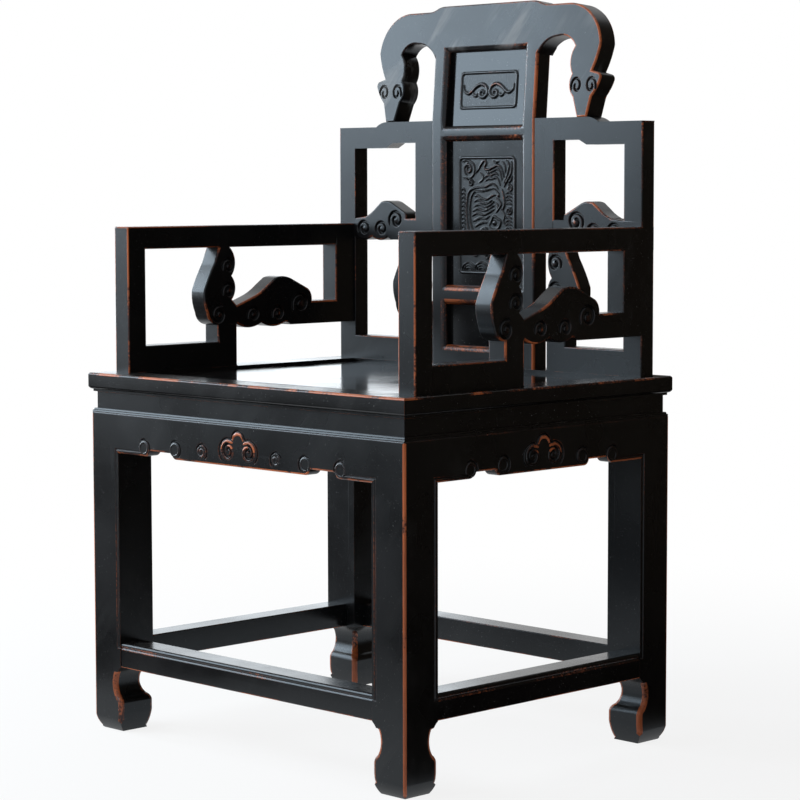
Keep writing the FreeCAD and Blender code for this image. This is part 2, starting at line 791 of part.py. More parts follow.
def make_splat_panels():
    """The three panels, held by their edges in grooves. Returns the bevels round their openings."""
    rails = splat_rails()
    front = splat_front + S.panel_recess
    half = splat_inner + S.panel_tongue
    bevels = {}
    for panel, below, above in (("bottom", "foot", "lower"), ("middle", "lower", "upper")):
        low = rails[below][1]
        high = rails[above][0]
        board = block(f"splat_panel_{panel}_board", (-half, half), (front, front + S.panel_thickness),
                      (low - S.panel_tongue, high + S.panel_tongue))
        node(f"splat_panel_{panel}", board)
        bevels[panel] = opening_bevel(f"splat_bevel_{panel}", low, high, splat_front)
    low = rails["upper"][1] - head_base
    foot = low - S.panel_tongue
    top = S.crest_opening + S.crest_groove
    board = outline("splat_panel_top_board", "XZ_Plane",
                    [(-half, foot), (half, foot), (half, top), (-half, top)],
                    S.panel_recess, S.panel_recess + S.panel_thickness)
    node("splat_panel_top", lean(board))
    bevels["top"] = lean(opening_bevel("splat_bevel_top", low, S.crest_opening, length(0)))
    return bevels


def make_crest(bevel):
    crest = lean(outline("crest_rail_board", "XZ_Plane", both_halves(crest_half_outline()),
                         length(0), S.crest_thickness))
    trim = block("crest_rail_trim", (-S.ear_reach, S.ear_reach),
                 (splat_front - S.crest_thickness, splat_front + 2 * S.crest_thickness),
                 (head_base - S.crest_thickness, head_base))
    crest = cut("crest_rail", crest, trim, bevel, parts["splat_panel_top"])
    tenon_y = middle(back_front, back_rear, S.tenon_thickness)
    right = block("crest_rail_tenon_right", middle(S.neck_inner, S.neck_outer, S.tenon_width), tenon_y,
                  (head_base - S.tenon_length, head_base))
    left = mirror("crest_rail_tenon_left", right, ACROSS)
    node("crest_rail", fuse("crest_rail", crest, right, left))


def make_splat_frame(bevels):
    y = (splat_front, splat_rear)
    tenon_y = middle(splat_front, splat_rear, S.tenon_thickness)
    tenon_half = splat_inner + S.tenon_length
    neighbours = {"foot": ["bottom"], "lower": ["bottom", "middle"], "upper": ["middle", "top"]}
    rails = []
    for name, z in splat_rails().items():
        bar = block(f"splat_rail_{name}_bar", (-splat_inner, splat_inner), y, z)
        tenon = block(f"splat_rail_{name}_tenon", (-tenon_half, tenon_half), tenon_y,
                      (z[0] + S.tenon_shoulder, z[1] - S.tenon_shoulder))
        tools = [parts[f"splat_panel_{panel}"] for panel in neighbours[name]]
        tools += [bevels[panel] for panel in neighbours[name]]
        rail = cut(f"splat_rail_{name}", fuse(f"splat_rail_{name}", bar, tenon), *tools)
        rails.append(node(f"splat_rail_{name}", rail))

    reach = S.crest_opening + S.splat_stile * 1.2
    rise = reach * trig("cos", S.head_lean)
    back = reach * trig("sin", S.head_lean)
    side = [
        (splat_front, SEAT),
        (splat_rear, SEAT),
        (splat_rear, head_base - S.splat_thickness * trig("tan", S.head_lean / 2)),
        (splat_front + back + S.splat_thickness * trig("cos", S.head_lean),
         head_base + rise - S.splat_thickness * trig("sin", S.head_lean)),
        (splat_front + back, head_base + rise),
        (splat_front, head_base),
    ]
    bar = outline("splat_stile_bar", "YZ_Plane", side, splat_inner, S.splat_half)
    foot = block("splat_stile_foot", middle(splat_inner, S.splat_half, S.tenon_width), tenon_y,
                 (mortise_floor, SEAT))
    panels = [parts[f"splat_panel_{panel}"] for panel in bevels]
    stile = cut("splat_stile", fuse("splat_stile", bar, foot), parts["crest_rail"], *rails, *panels,
                *bevels.values())
    node("splat_stile_right", stile)
    mirror_node("splat_stile_left", stile, ACROSS)


# Seat frame: four mitred rails with a moulded edge, grooved for the panel and mortised for all that joins it

def make_seat_frame():
    inset = S.seat_edge_inset
    edge_foot = SEAT - S.seat_edge_face
    profile = [
        (inset, seat_bottom),
        (S.seat_rail_width, seat_bottom),
        (S.seat_rail_width, SEAT),
        (0, SEAT),
        (0, edge_foot),
        (inset, edge_foot - S.seat_edge_curve, -S.seat_edge_swell),
    ]
    front, right = mitred_ring("seat_rail", profile, seat_half_width, seat_half_depth, S.seat_rail_width,
                               seat_bottom, SEAT)
    rear = mirror("seat_rail_rear_blank", front, FORE_AND_AFT)
    panel = parts["seat_panel"]
    battens = [parts["seat_batten_right"], parts["seat_batten_left"]]
    tenon_outer = seat_half_width - S.corner_tenon_inset
    tenon_x = (tenon_outer - S.corner_tenon_width, tenon_outer)
    tenon_end = seat_half_depth - S.corner_tenon_setback
    reach = (tenon_end - S.tenon_length, tenon_end)
    tenon_z = middle(seat_bottom, SEAT, S.tenon_thickness)
    front_tenon = block("seat_rail_tenon_front", tenon_x, (-reach[1], -reach[0]), tenon_z)
    rear_tenon = block("seat_rail_tenon_rear", tenon_x, reach, tenon_z)
    tools = [parts[name] for name in ("leg_front_right", "leg_rear_right", "arm_front_post_right",
                                      "arm_cloud_post_right", "back_outer_stile_right")]
    right = cut("seat_rail_right", fuse("seat_rail_right", right, front_tenon, rear_tenon), panel, *tools)
    sides = [node("seat_rail_right", right), mirror_node("seat_rail_left", right, ACROSS)]
    legs = [parts["leg_front_right"], parts["leg_front_left"]]
    node("seat_rail_front", cut("seat_rail_front", front, *sides, panel, *battens, *legs))
    tools = [parts[f"{name}_{side}"] for side in ("right", "left")
             for name in ("leg_rear", "back_outer_stile", "back_cloud_post", "splat_stile")]
    node("seat_rail_rear", cut("seat_rail_rear", rear, *sides, panel, *battens, *tools))


def check_and_write():
    """Stops on any failed object, then writes one file for each sub-part."""
    doc.recompute()
    faults = [item.Name for item in doc.Objects if {"Invalid", "Error"} & set(item.State)]
    faults += [label for label, item in parts.items() if item.Shape.isNull() or not item.Shape.isValid()]
    faults += [label for label, item in parts.items() if len(item.Shape.Solids) != 1]
    if faults:
        raise RuntimeError("failed objects: " + ", ".join(faults))
    os.makedirs("parts", exist_ok=True)
    for label, item in parts.items():
        item.Shape.exportStep(f"parts/{label}.step")
    print(len(parts), "sub-parts written")


make_stretchers()
make_aprons()
make_legs()
make_waists()
make_seat_panel()
make_arms()
opening_bevels = make_splat_panels()
make_crest(opening_bevels["top"])
make_splat_frame(opening_bevels)
make_back_frames()
make_seat_frame()
check_and_write()
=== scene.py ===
"""A black lacquer armchair with cloud carvings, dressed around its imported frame."""

import functools
import math

import bmesh
import bpy
import numpy as np
from mathutils import Matrix, Vector
from mathutils.bvhtree import BVHTree
from mathutils.geometry import intersect_point_line


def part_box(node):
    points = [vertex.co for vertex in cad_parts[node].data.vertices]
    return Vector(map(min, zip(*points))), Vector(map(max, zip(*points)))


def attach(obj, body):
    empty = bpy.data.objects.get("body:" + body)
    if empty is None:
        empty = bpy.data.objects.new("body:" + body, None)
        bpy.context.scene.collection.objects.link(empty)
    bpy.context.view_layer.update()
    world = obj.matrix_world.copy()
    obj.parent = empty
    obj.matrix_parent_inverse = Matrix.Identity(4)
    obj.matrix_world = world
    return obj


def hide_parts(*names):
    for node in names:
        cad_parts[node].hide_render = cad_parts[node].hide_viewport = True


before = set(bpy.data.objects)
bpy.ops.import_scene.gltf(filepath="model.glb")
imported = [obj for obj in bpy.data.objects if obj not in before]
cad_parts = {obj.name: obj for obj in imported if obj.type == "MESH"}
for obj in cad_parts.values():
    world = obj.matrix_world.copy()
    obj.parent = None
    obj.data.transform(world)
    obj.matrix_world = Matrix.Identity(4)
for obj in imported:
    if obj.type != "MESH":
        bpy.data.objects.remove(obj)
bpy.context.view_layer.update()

bl_info = {
    "name": "Black lacquer armchair",
    "version": (1, 0, 0),
    "blender": (4, 5, 0),
    "location": "3D View > Sidebar > Armchair",
    "description": "Rounds, carves and lacquers the members of an armchair and sets its stage",
    "category": "Object",
}

MM = 0.001
X, Y, Z = range(3)

# The sides of the chair: the signs of their directions and the axis that each runs along
SIDES = (-1, 1)
HANDS = {"left": -1, "right": 1}
ENDS = {"front": -1, "rear": 1}
RUNS = {"front": "x", "rear": "x", "left": "y", "right": "y"}


def lowest(node, axis):
    """The least reach of a packed member along an axis, in millimetres."""
    return round(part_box(node)[0][axis] / MM, 2)


def highest(node, axis):
    """The greatest reach of a packed member along an axis, in millimetres."""
    return round(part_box(node)[1][axis] / MM, 2)


# Faces of the base, in millimetres
BASE_HALF_WIDTH = highest("leg_rear_right", X)
BASE_HALF_DEPTH = highest("leg_rear_right", Y)
OPENING_HALF_WIDTH = lowest("leg_rear_right", X)
OPENING_HALF_DEPTH = lowest("leg_rear_right", Y)
APRON_FOOT = lowest("apron_front", Z)
APRON_TOP = highest("apron_front", Z)
SEAT_TOP = highest("seat_rail_front", Z)
STRETCHER_GROOVE = highest("stretcher_front", Z) - 7

# The leaning head of the back, in millimetres and degrees
HEAD_FRONT = lowest("splat_stile_right", Y)
HEAD_FOOT = highest("back_inner_stile_right", Z)
HEAD_LEAN = 4.3
PANEL_FRONT = lowest("splat_panel_middle", Y)
SPLAT_HALF_WIDTH = highest("splat_stile_right", X)

# Places of the carving, in millimetres on the face that is carved
# A scroll is its centre, its radius, the angle of its mouth and its turns, which are negative for clockwise
ARM_POST_SCROLLS = (
    (-37, 647, 13, 210, -1.3),
    (-37, 611, 13, 210, -1.3),
    (-56, 577, 14.5, 60, 1.4),
)
ARM_RAIL_SCROLLS = (
    (10, 575.5, 12.5, 210, -1.3),
    (58, 575, 12.5, 210, -1.3),
    (102, 588.5, 17, 215, -1.4),
)
BACK_POST_SCROLLS = (
    (139, 653, 13, -30, 1.3),
    (139, 615, 13, -30, 1.3),
    (158, 578, 14.5, 120, -1.4),
)
BACK_RAIL_SCROLLS = (
    (245, 698, 13, -30, 1.3),
    (208, 697.5, 12.5, -30, 1.3),
    (177, 711, 15, -35, 1.4),
)
CREST_SCROLLS = (
    (202.5, 43, 13, -30, 1.25),
    (176.5, 43, 13, 210, -1.25),
)
CREST_STRETCH = 0.76
SCROLL_EYE = 0.22
BOSS_SHARE = 0.36
BOSS_REACH = 6

# The bead of the openings and the carving of the aprons, in millimetres
# A crescent or ring is its mouth and turns, a bead half its width and its share of the bosses' height,
# and a groove its share of a scroll's
BEAD_OFFSET = 5.5
BEAD_LEAD = 2
CURL_GAP = 7
FRONT_APRON_CURLS = (196, 130)
FRONT_APRON_SCROLLS = ((74, 407.5, 11, 60, -1.35),)
SIDE_APRON_CURLS = (136, 76)
CURL_RADIUS = 8.6
CURL_RISES = (5.5, 7.5)
CURL_RING = (-60, 0.97)
CURL_EYE = 0.88
CURL_BEAD = (1.8, 0.8)
CURL_CRESCENT = (50, 0.5)
SCROLL_CRESCENT = (10, 0.62)
CRESCENT_GAP = 3.6
CRESCENT_EYE = 0.94
CRESCENT_GROOVE = 0.7
SMALL_COIL_EYE = 0.3
SMALL_COIL_BEAD = (1.6, 0.9)
RUYI_HEIGHT = 413
RUYI_SPREAD = 19.7
RUYI_STRETCH = 1.07
RUYI_SCROLL = (RUYI_SPREAD, RUYI_HEIGHT, 10.4, 100, -1.3)
RUYI_COIL = (RUYI_SPREAD, RUYI_HEIGHT, 13.9, 128, -1.12)
RUYI_COIL_EYE = 0.5
RUYI_COIL_BEAD = (2.1, 1.0)
RUYI_SHOULDER = (RUYI_SPREAD, RUYI_HEIGHT, 17.4, -50, 0.44)
RUYI_ARCH = ((-10.5, 428), (-9, 432.5), (-5, 435.7), (0, 436.7), (5, 435.7), (9, 432.5), (10.5, 428))
RUYI_BROW = ((9.5, 437), (5, 440), (0, 441))
RUYI_ARCH_BEAD = (2.0, 1.0)
RUYI_BROW_GROOVE = 0.65

# The fillet at the foot of the waist, as insets from the base and rises above the aprons in millimetres
WAIST_FILLET = ((0.8, 0.02), (1.4, 2.0), (2.7, 2.3), (2.5, 2.7), (3.1, 4.6), (5.2, 4.8), (5.2, 0.02))

# Roundings as shares of those of the seat and the frames
WAIST_ROUND = 0.5
SEAT_EDGE_ROUND = 2.2
PANEL_ROUND = 0.4
SPLAT_INNER_ROUND = 1.5

# Where edges are rounded or worn more than others, in millimetres
OUTER_CORNER = 6
HOOF_FOOT = 3
HOOF_TOP = 84
HOOF_INSET = 20
SEAT_EDGE = 2
APRON_LOBES = 20
APRON_WORN = (-30, 165)
RUYI_WORN = 3
STRETCHER_LOWER = 15
ARM_FRONT = 40
SPLAT_FRONT = 3
SPLAT_EDGE = 8
CREST_WORN = 150


class ChairSizes(bpy.types.PropertyGroup):
    """The roundings and depths of the carving."""

    leg_round: bpy.props.FloatProperty(
        name="Leg corners", description="Rounding of the corners of the legs",
        default=3.2 * MM, min=0, unit="LENGTH")
    frame_round: bpy.props.FloatProperty(
        name="Frame edges", description="Rounding of the edges of the arms and the back",
        default=2.0 * MM, min=0, unit="LENGTH")
    splat_round: bpy.props.FloatProperty(
        name="Splat edges", description="Rounding of the outer edges of the splat",
        default=3.6 * MM, min=0, unit="LENGTH")
    cloud_round: bpy.props.FloatProperty(
        name="Cloud edges", description="Rounding of the edges of the cloud pieces and the crest",
        default=2.6 * MM, min=0, unit="LENGTH")
    seat_round: bpy.props.FloatProperty(
        name="Seat edges", description="Rounding of the edges of the seat, the stretchers and the legs",
        default=1.4 * MM, min=0, unit="LENGTH")
    apron_round: bpy.props.FloatProperty(
        name="Apron edges", description="Rounding of the edges of the aprons",
        default=2.4 * MM, min=0, unit="LENGTH")
    scroll_width: bpy.props.FloatProperty(
        name="Scroll groove", description="Half the width of the grooves of the scrolls",
        default=1.6 * MM, min=0, unit="LENGTH")
    scroll_depth: bpy.props.FloatProperty(
        name="Scroll depth", description="Depth of the grooves of the scrolls",
        default=3.3 * MM, min=0, unit="LENGTH")
    bead_width: bpy.props.FloatProperty(
        name="Bead groove", description="Half the width of the groove beside the bead of the openings",
        default=1.05 * MM, min=0, unit="LENGTH")
    bead_depth: bpy.props.FloatProperty(
        name="Bead depth", description="Depth of the groove beside the bead of the openings",
        default=1.6 * MM, min=0, unit="LENGTH")
    boss_height: bpy.props.FloatProperty(
        name="Bosses", description="Height of the raised parts of the scrolls",
        default=1.3 * MM, min=0, unit="LENGTH")
    hoof_round: bpy.props.FloatProperty(
        name="Hoof corners", description="Rounding of the inner corners of the hoofs",
        default=6.0 * MM, min=0, unit="LENGTH")
    relief_height: bpy.props.FloatProperty(
        name="Relief", description="Height of the carving on the panels",
        default=2.3 * MM, min=0, unit="LENGTH")
    relief_step: bpy.props.FloatProperty(
        name="Relief step", description="Distance between the points of the carving on the panels",
        default=0.8 * MM, min=0.2 * MM, unit="LENGTH")


class ChairColours(bpy.types.PropertyGroup):
    """The colours of the finishes."""

    lacquer: bpy.props.FloatVectorProperty(
        name="Lacquer", description="Colour of the black lacquer",
        default=(0.0030, 0.0025, 0.0024), size=3, min=0, max=1, subtype="COLOR")
    undercoat: bpy.props.FloatVectorProperty(
        name="Undercoat", description="Red brown that shows where the lacquer is rubbed thin",
        default=(0.060, 0.016, 0.008), size=3, min=0, max=1, subtype="COLOR")
    bare: bpy.props.FloatVectorProperty(
        name="Bare wood", description="Colour of the wood where the lacquer is worn through",
        default=(0.52, 0.125, 0.034), size=3, min=0, max=1, subtype="COLOR")
    # The dust's colour also paints the pale smears, which are partly painted sheen
    dust: bpy.props.FloatVectorProperty(
        name="Dust", description="Colour of the dust that has settled",
        default=(0.32, 0.31, 0.30), size=3, min=0, max=1, subtype="COLOR")
    sheen: bpy.props.FloatVectorProperty(
        name="Sheen", description="Tint of the reflections of the lacquer",
        default=(0.78, 0.90, 1.0), size=3, min=0, max=1, subtype="COLOR")
    plain_wood: bpy.props.FloatVectorProperty(
        name="Unfinished wood", description="Colour of the battens under the seat",
        default=(0.19, 0.10, 0.055), size=3, min=0, max=1, subtype="COLOR")


class ChairStage(bpy.types.PropertyGroup):
    """The camera, the lamps and the floor."""

    lens: bpy.props.FloatProperty(
        name="Lens", description="Focal length on a 36 mm sensor",
        default=114.06, min=1, unit="CAMERA")
    azimuth: bpy.props.FloatProperty(
        name="Azimuth", description="Angle of the camera round the chair, from its front",
        default=math.radians(45.43), subtype="ANGLE")
    elevation: bpy.props.FloatProperty(
        name="Elevation", description="Angle of the camera above the horizon",
        default=math.radians(4.82), subtype="ANGLE")
    roll: bpy.props.FloatProperty(
        name="Roll", description="Turn of the camera about its line of sight",
        default=math.radians(-0.11), subtype="ANGLE")
    distance: bpy.props.FloatProperty(
        name="Distance", description="Distance of the camera from its target",
        default=3.5035, min=0, unit="LENGTH")
    target_shift: bpy.props.FloatProperty(
        name="Target shift", description="How far right of the middle the camera aims",
        default=0.03206, unit="LENGTH")
    target_height: bpy.props.FloatProperty(
        name="Target height", description="Height at which the camera aims",
        default=0.46648, unit="LENGTH")
    window_power: bpy.props.FloatProperty(
        name="Window light", description="Power of the large soft lamp at the front left",
        default=72, min=0, unit="POWER")
    low_power: bpy.props.FloatProperty(
        name="Low window light", description="Power of the fainter lower part of the window",
        default=3.2, min=0, unit="POWER")
    upper_power: bpy.props.FloatProperty(
        name="Upper window light", description="Power of the upper part of the window",
        default=35, min=0, unit="POWER")
    front_power: bpy.props.FloatProperty(
        name="Front window light", description="Power of the narrow window before the chair",
        default=19, min=0, unit="POWER")
    side_power: bpy.props.FloatProperty(
        name="Side window light", description="Power of the narrow window at the left",
        default=51, min=0, unit="POWER")
    back_power: bpy.props.FloatProperty(
        name="Back light", description="Power of the low soft lamp behind the chair",
        default=10, min=0, unit="POWER")
    window_colour: bpy.props.FloatVectorProperty(
        name="Window colour", description="Colour of the light of every lamp",
        default=(0.80, 0.91, 1.0), size=3, min=0, max=1, subtype="COLOR")
    ambient: bpy.props.FloatProperty(
        name="Ambient light", description="Strength of the light from all round",
        default=0.25, min=0)
    floor: bpy.props.FloatVectorProperty(
        name="Floor", description="Colour of the floor",
        default=(0.9, 0.9, 0.9), size=3, min=0, max=1, subtype="COLOR")


class Face:
    """A flat face of the chair: where it lies, its across and up directions and the way it looks."""

    def __init__(self, origin, across, up, outward):
        self.origin = Vector(origin) * MM
        self.across = Vector(across)
        self.up = Vector(up)
        self.outward = Vector(outward)

    def at(self, u, v, height=0.0):
        """A point given across and up in millimetres, and outward in metres."""
        return self.origin + self.across * (u * MM) + self.up * (v * MM) + self.outward * height


def front_face(y):
    return Face((0, y, 0), (1, 0, 0), (0, 0, 1), (0, -1, 0))


def rear_face(y):
    return Face((0, y, 0), (1, 0, 0), (0, 0, 1), (0, 1, 0))


def side_face(x):
    return Face((x, 0, 0), (0, 1, 0), (0, 0, 1), (math.copysign(1, x), 0, 0))


def inner_face(x):
    return Face((x, 0, 0), (0, 1, 0), (0, 0, 1), (-math.copysign(1, x), 0, 0))


def head_face(depth, forward=True):
    """A face of the leaning head, so far behind its front in millimetres."""
    lean = math.radians(HEAD_LEAN)
    back = Vector((0, math.cos(lean), -math.sin(lean)))
    up = Vector((0, math.sin(lean), math.cos(lean)))
    origin = Vector((0, HEAD_FRONT, HEAD_FOOT)) + back * depth
    return Face(origin, (1, 0, 0), up, -back if forward else back)


# Rounding of the members, with angles in degrees and tolerances in metres

SHARP_ANGLE = 32
FOLD_ANGLE = 150
CREASE_ANGLE = 36
FLAT_ANGLE = 0.6
TOUCH = 0.001 * MM
WELD = 0.002 * MM
SLIVER = 0.005 * MM
SHORTEST_CUT = 0.05 * MM


class Solids:
    """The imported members, to tell where one lies against another."""

    PROBE = Vector((0.2137, 0.3391, 0.9161)).normalized()

    def __init__(self):
        self.trees = {}
        for name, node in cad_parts.items():
            low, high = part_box(name)
            bm = bmesh.new()
            bm.from_mesh(node.data)
            self.trees[name] = (low, high, BVHTree.FromBMesh(bm))
            bm.free()

    def holds(self, name, point):
        low, high, tree = self.trees[name]
        if any(point[i] < low[i] or point[i] > high[i] for i in range(3)):
            return False
        crossings = 0
        spot = tree.ray_cast(point, self.PROBE)[0]
        while spot is not None:
            crossings += 1
            spot = tree.ray_cast(spot + self.PROBE * 1e-6, self.PROBE)[0]
        return crossings % 2 == 1

    def covered(self, own, point):
        return any(name != own and self.holds(name, point) for name in self.trees)


@functools.cache
def solids():
    return Solids()


def edge_is_bare(own, edge, share):
    """Whether no other member lies against an edge at this share of its length."""
    reach = 0.8 * MM
    start, end = (v.co for v in edge.verts)
    point = start.lerp(end, share)
    first, second = (face.normal for face in edge.link_faces)
    return not (solids().covered(own, point + first * reach - second * reach / 2)
                or solids().covered(own, point + second * reach - first * reach / 2))


def cover_ends(own, edge):
    """Where another member begins or ends along an edge, each point with the way to the covered side."""
    spacing = 5 * MM
    start, end = (v.co for v in edge.verts)
    along = (end - start).normalized()
    count = max(1, round(edge.calc_length() / spacing))
    states = [edge_is_bare(own, edge, (i + 0.5) / count) for i in range(count)]
    ends = []
    for i in range(count - 1):
        if states[i] == states[i + 1]:
            continue
        low, high = (i + 0.5) / count, (i + 1.5) / count
        for _ in range(6):
            middle = (low + high) / 2
            if edge_is_bare(own, edge, middle) == states[i]:
                low = middle
            else:
                high = middle
        ends.append((start.lerp(end, (low + high) / 2), along if states[i] else -along))
    return ends


def sharp_edges(bm):
    """The convex edges that are to be rounded where they lie bare."""
    return [edge for edge in bm.edges if edge.is_manifold and edge.is_convex
            and edge.calc_face_angle() > math.radians(SHARP_ANGLE)]


def cut_across(bm, point, along):
    """Cuts the faces beside the sharp edge that holds a point."""
    for edge in sharp_edges(bm):
        to_start, to_end = ((point - v.co).length for v in edge.verts)
        if abs(to_start + to_end - edge.calc_length()) > TOUCH:
            continue
        if min(to_start, to_end) > SHORTEST_CUT:
            parts = edge.link_faces[:]
            for face in edge.link_faces:
                parts += [*face.edges, *face.verts]
            bmesh.ops.bisect_plane(bm, geom=list(dict.fromkeys(parts)), dist=TOUCH, plane_co=point,
                                   plane_no=along)
        return


def split_at_neighbours(bm, own):
    """Lets the roundings of a member run out just where another member begins against it."""
    run_out = 2 * MM
    for point, along in [end for edge in sharp_edges(bm) for end in cover_ends(own, edge)]:
        cut_across(bm, point, along)
        cut_across(bm, point + along * run_out, along)
    bm.normal_update()


def member_mesh(node):
    """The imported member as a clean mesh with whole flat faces."""
    bm = bmesh.new()
    bm.from_mesh(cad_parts[node].data)
    bmesh.ops.remove_doubles(bm, verts=bm.verts[:], dist=WELD)
    bmesh.ops.dissolve_limit(bm, angle_limit=math.radians(FLAT_ANGLE), verts=bm.verts[:], edges=bm.edges[:])
    bm.normal_update()
    return bm


def round_edges(bm, edges, radius, segments, wear_at, clamped=True):
    """Rounds edges and marks the roundings as worn, by a share that depends on the place in millimetres."""
    worn = bm.loops.layers.float["worn"]
    made = bmesh.ops.bevel(bm, geom=edges, offset=radius, offset_type="OFFSET", segments=segments,
                           profile=0.5, affect="EDGES", clamp_overlap=clamped, loop_slide=True)
    for face in made["faces"]:
        for loop in face.loops:
            loop[worn] = wear_at(*(loop.vert.co / MM))


def bare_edges(bm, node):
    """The sharp edges of a member that lie against no other."""
    return [edge for edge in sharp_edges(bm) if edge_is_bare(node, edge, 0.5)]


def evenly_worn(x, y, z):
    return 1.0


def rounded_member(node, radius, fuller=(), wear_at=evenly_worn, clamped=True):
    """A copy of a packed member with its bare edges rounded, some of them first and more fully.

    fuller holds pairs of a radius and a test of the middle of an edge in millimetres.
    """
    bm = member_mesh(node)
    bm.loops.layers.float.new("worn")
    bm.loops.layers.float.new("sunk")
    split_at_neighbours(bm, node)
    for full_radius, chosen in fuller:
        edges = [edge for edge in bare_edges(bm, node) if chosen(*middle_of(edge))]
        round_edges(bm, edges, full_radius, 4, wear_at, clamped=False)
        bm.normal_update()
    if clamped:
        round_edges(bm, bare_edges(bm, node), radius, 3, wear_at)
    else:
        bm = fully_rounded(bm, bare_edges(bm, node), radius, wear_at)
    for vert in bm.verts:
        vert.co.z = max(0.0, vert.co.z)
    return bm


def fold_spots(bm):
    """The places at which roundings have run into one another."""
    return [(edge.verts[0].co + edge.verts[1].co) / 2 for edge in bm.edges
            if edge.is_manifold and edge.calc_face_angle(0) > math.radians(FOLD_ANGLE)]


def distance_to(edge, spot):
    """How far a place lies from an edge."""
    start, end = (v.co for v in edge.verts)
    share = intersect_point_line(spot, start, end)[1]
    return (start.lerp(end, max(0.0, min(1.0, share))) - spot).length


def fully_rounded(bm, edges, radius, wear_at):
    """Rounds edges by their full radius and spares those whose roundings would run into one another."""
    tries = 8
    bm.edges.index_update()
    kept = [edge.index for edge in edges]
    wedges = fold_spots(bm)
    for _ in range(tries):
        trial = bm.copy()
        trial.edges.ensure_lookup_table()
        round_edges(trial, [trial.edges[i] for i in kept], radius, 3, wear_at, clamped=False)
        bmesh.ops.dissolve_degenerate(trial, dist=SLIVER, edges=trial.edges)
        trial.normal_update()
        folds = [spot for spot in fold_spots(trial)
                 if all((spot - wedge).length > radius for wedge in wedges)]
        if not folds:
            bm.free()
            return trial
        trial.free()
        bm.edges.ensure_lookup_table()
        kept = [i for i in kept if all(distance_to(bm.edges[i], spot) > 1.5 * radius for spot in folds)]
    raise RuntimeError("the roundings run into one another")


def middle_of(edge):
    """The middle of an edge in millimetres."""
    return (edge.verts[0].co + edge.verts[1].co) / 2 / MM


def add_piece(bm, name, material):
    mesh = bpy.data.meshes.new(name)
    bm.to_mesh(mesh)
    bm.free()
    leftover = mesh.attributes.get("custom_normal")
    if leftover:
        mesh.attributes.remove(leftover)
    mesh.materials.clear()
    mesh.materials.append(material)
    mesh.polygons.foreach_set("material_index", [0] * len(mesh.polygons))
    piece = bpy.data.objects.new(name, mesh)
    bpy.context.scene.collection.objects.link(piece)
    return piece


def smooth(piece, angle):
    """Smooth shading that keeps the sharp edges and the flat faces flat."""
    piece.data.shade_smooth()
    piece.data.set_sharp_from_angle(angle=math.radians(angle))
    normals = piece.modifiers.new("Flat faces", "WEIGHTED_NORMAL")
    normals.keep_sharp = True


def seat_on_frame(piece, node):
    """The piece stands for its member and moves with the chair."""
    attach(piece, "root")
    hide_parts(node)


# Carving of the members

GROOVE_HALF = ((2.0, 3.0), (1.95, 0.0), (1.65, -0.04), (1.35, -0.14), (1.1, -0.34), (0.85, -0.75),
               (0.45, -0.97))
GROOVE_SECTION = (*[(-across, height) for across, height in GROOVE_HALF], (0, -1.0), *GROOVE_HALF[::-1])
GROOVE_TAPERS = (0.35, 0.55)
GROOVE_SPACE = 0.225
LIP_STRIPS = (*range(4), *range(10, 14))
LIP_WEAR = 0.4
BEAD_HALF = ((1.0, -0.5), (1.0, 0.0), (0.88, 0.26), (0.66, 0.58), (0.35, 0.88))
BEAD_SECTION = (*[(-across, height) for across, height in BEAD_HALF], (0, 1.0), *BEAD_HALF[::-1])
BEAD_TAPERS = (0.5, 0.5)


def scroll_path(u, v, radius, mouth, turns, eye=SCROLL_EYE, steps_per_turn=30, stretch=1.0):
    """The groove of a scroll on its face, from the mouth to the eye, and wider than high by its stretch."""
    steps = round(abs(turns) * steps_per_turn)
    path = []
    for i in range(steps + 1):
        share = i / steps
        angle = math.radians(mouth) + 2 * math.pi * turns * share
        reach = radius * (1 + (eye - 1) * share)
        path.append((u + reach * stretch * math.cos(angle), v + reach * math.sin(angle)))
    return path


def cut_scroll(bm, face, scroll, side=1, stretch=1.0):
    """Adds the groove of a scroll to a cutter, no wider than the space between its turns."""
    sizes = bpy.context.scene.chair_sizes
    radius, turns = scroll[2], abs(scroll[4])
    between = radius * min(1.0, stretch) * (1 - SCROLL_EYE) / turns * MM
    width = min(sizes.scroll_width, GROOVE_SPACE * between)
    depth = sizes.scroll_depth * width / sizes.scroll_width
    cut_groove(bm, face, mirrored(scroll_path(*scroll, stretch=stretch), side), width, depth)


def mirrored(path, side):
    return [(u * side, v) for u, v in path]


def smooth_path(points, per_span=6):
    """A smooth line through given points."""
    ends = [points[0], *points, points[-1]]
    path = []
    for a, b, c, d in zip(ends, ends[1:], ends[2:], ends[3:]):
        for i in range(per_span):
            t = i / per_span
            path.append(tuple(
                0.5 * (2 * q + (r - p) * t + (2 * p - 5 * q + 4 * r - s) * t * t
                       + (3 * q - p - 3 * r + s) * t ** 3)
                for p, q, r, s in zip(a, b, c, d)))
    path.append(points[-1])
    return path


def skin(bm, rings):
    """Closes rings of points into one form, and gives each strip with its ring and its place round it."""
    count = len(rings[0])
    strips = []
    for i, (ring, following) in enumerate(zip(rings, rings[1:])):
        for k in range(count):
            m = (k + 1) % count
            strips.append((i, k, bm.faces.new((ring[k], ring[m], following[m], following[k]))))
    bm.faces.new(rings[0])
    bm.faces.new(rings[-1][::-1])
    return strips


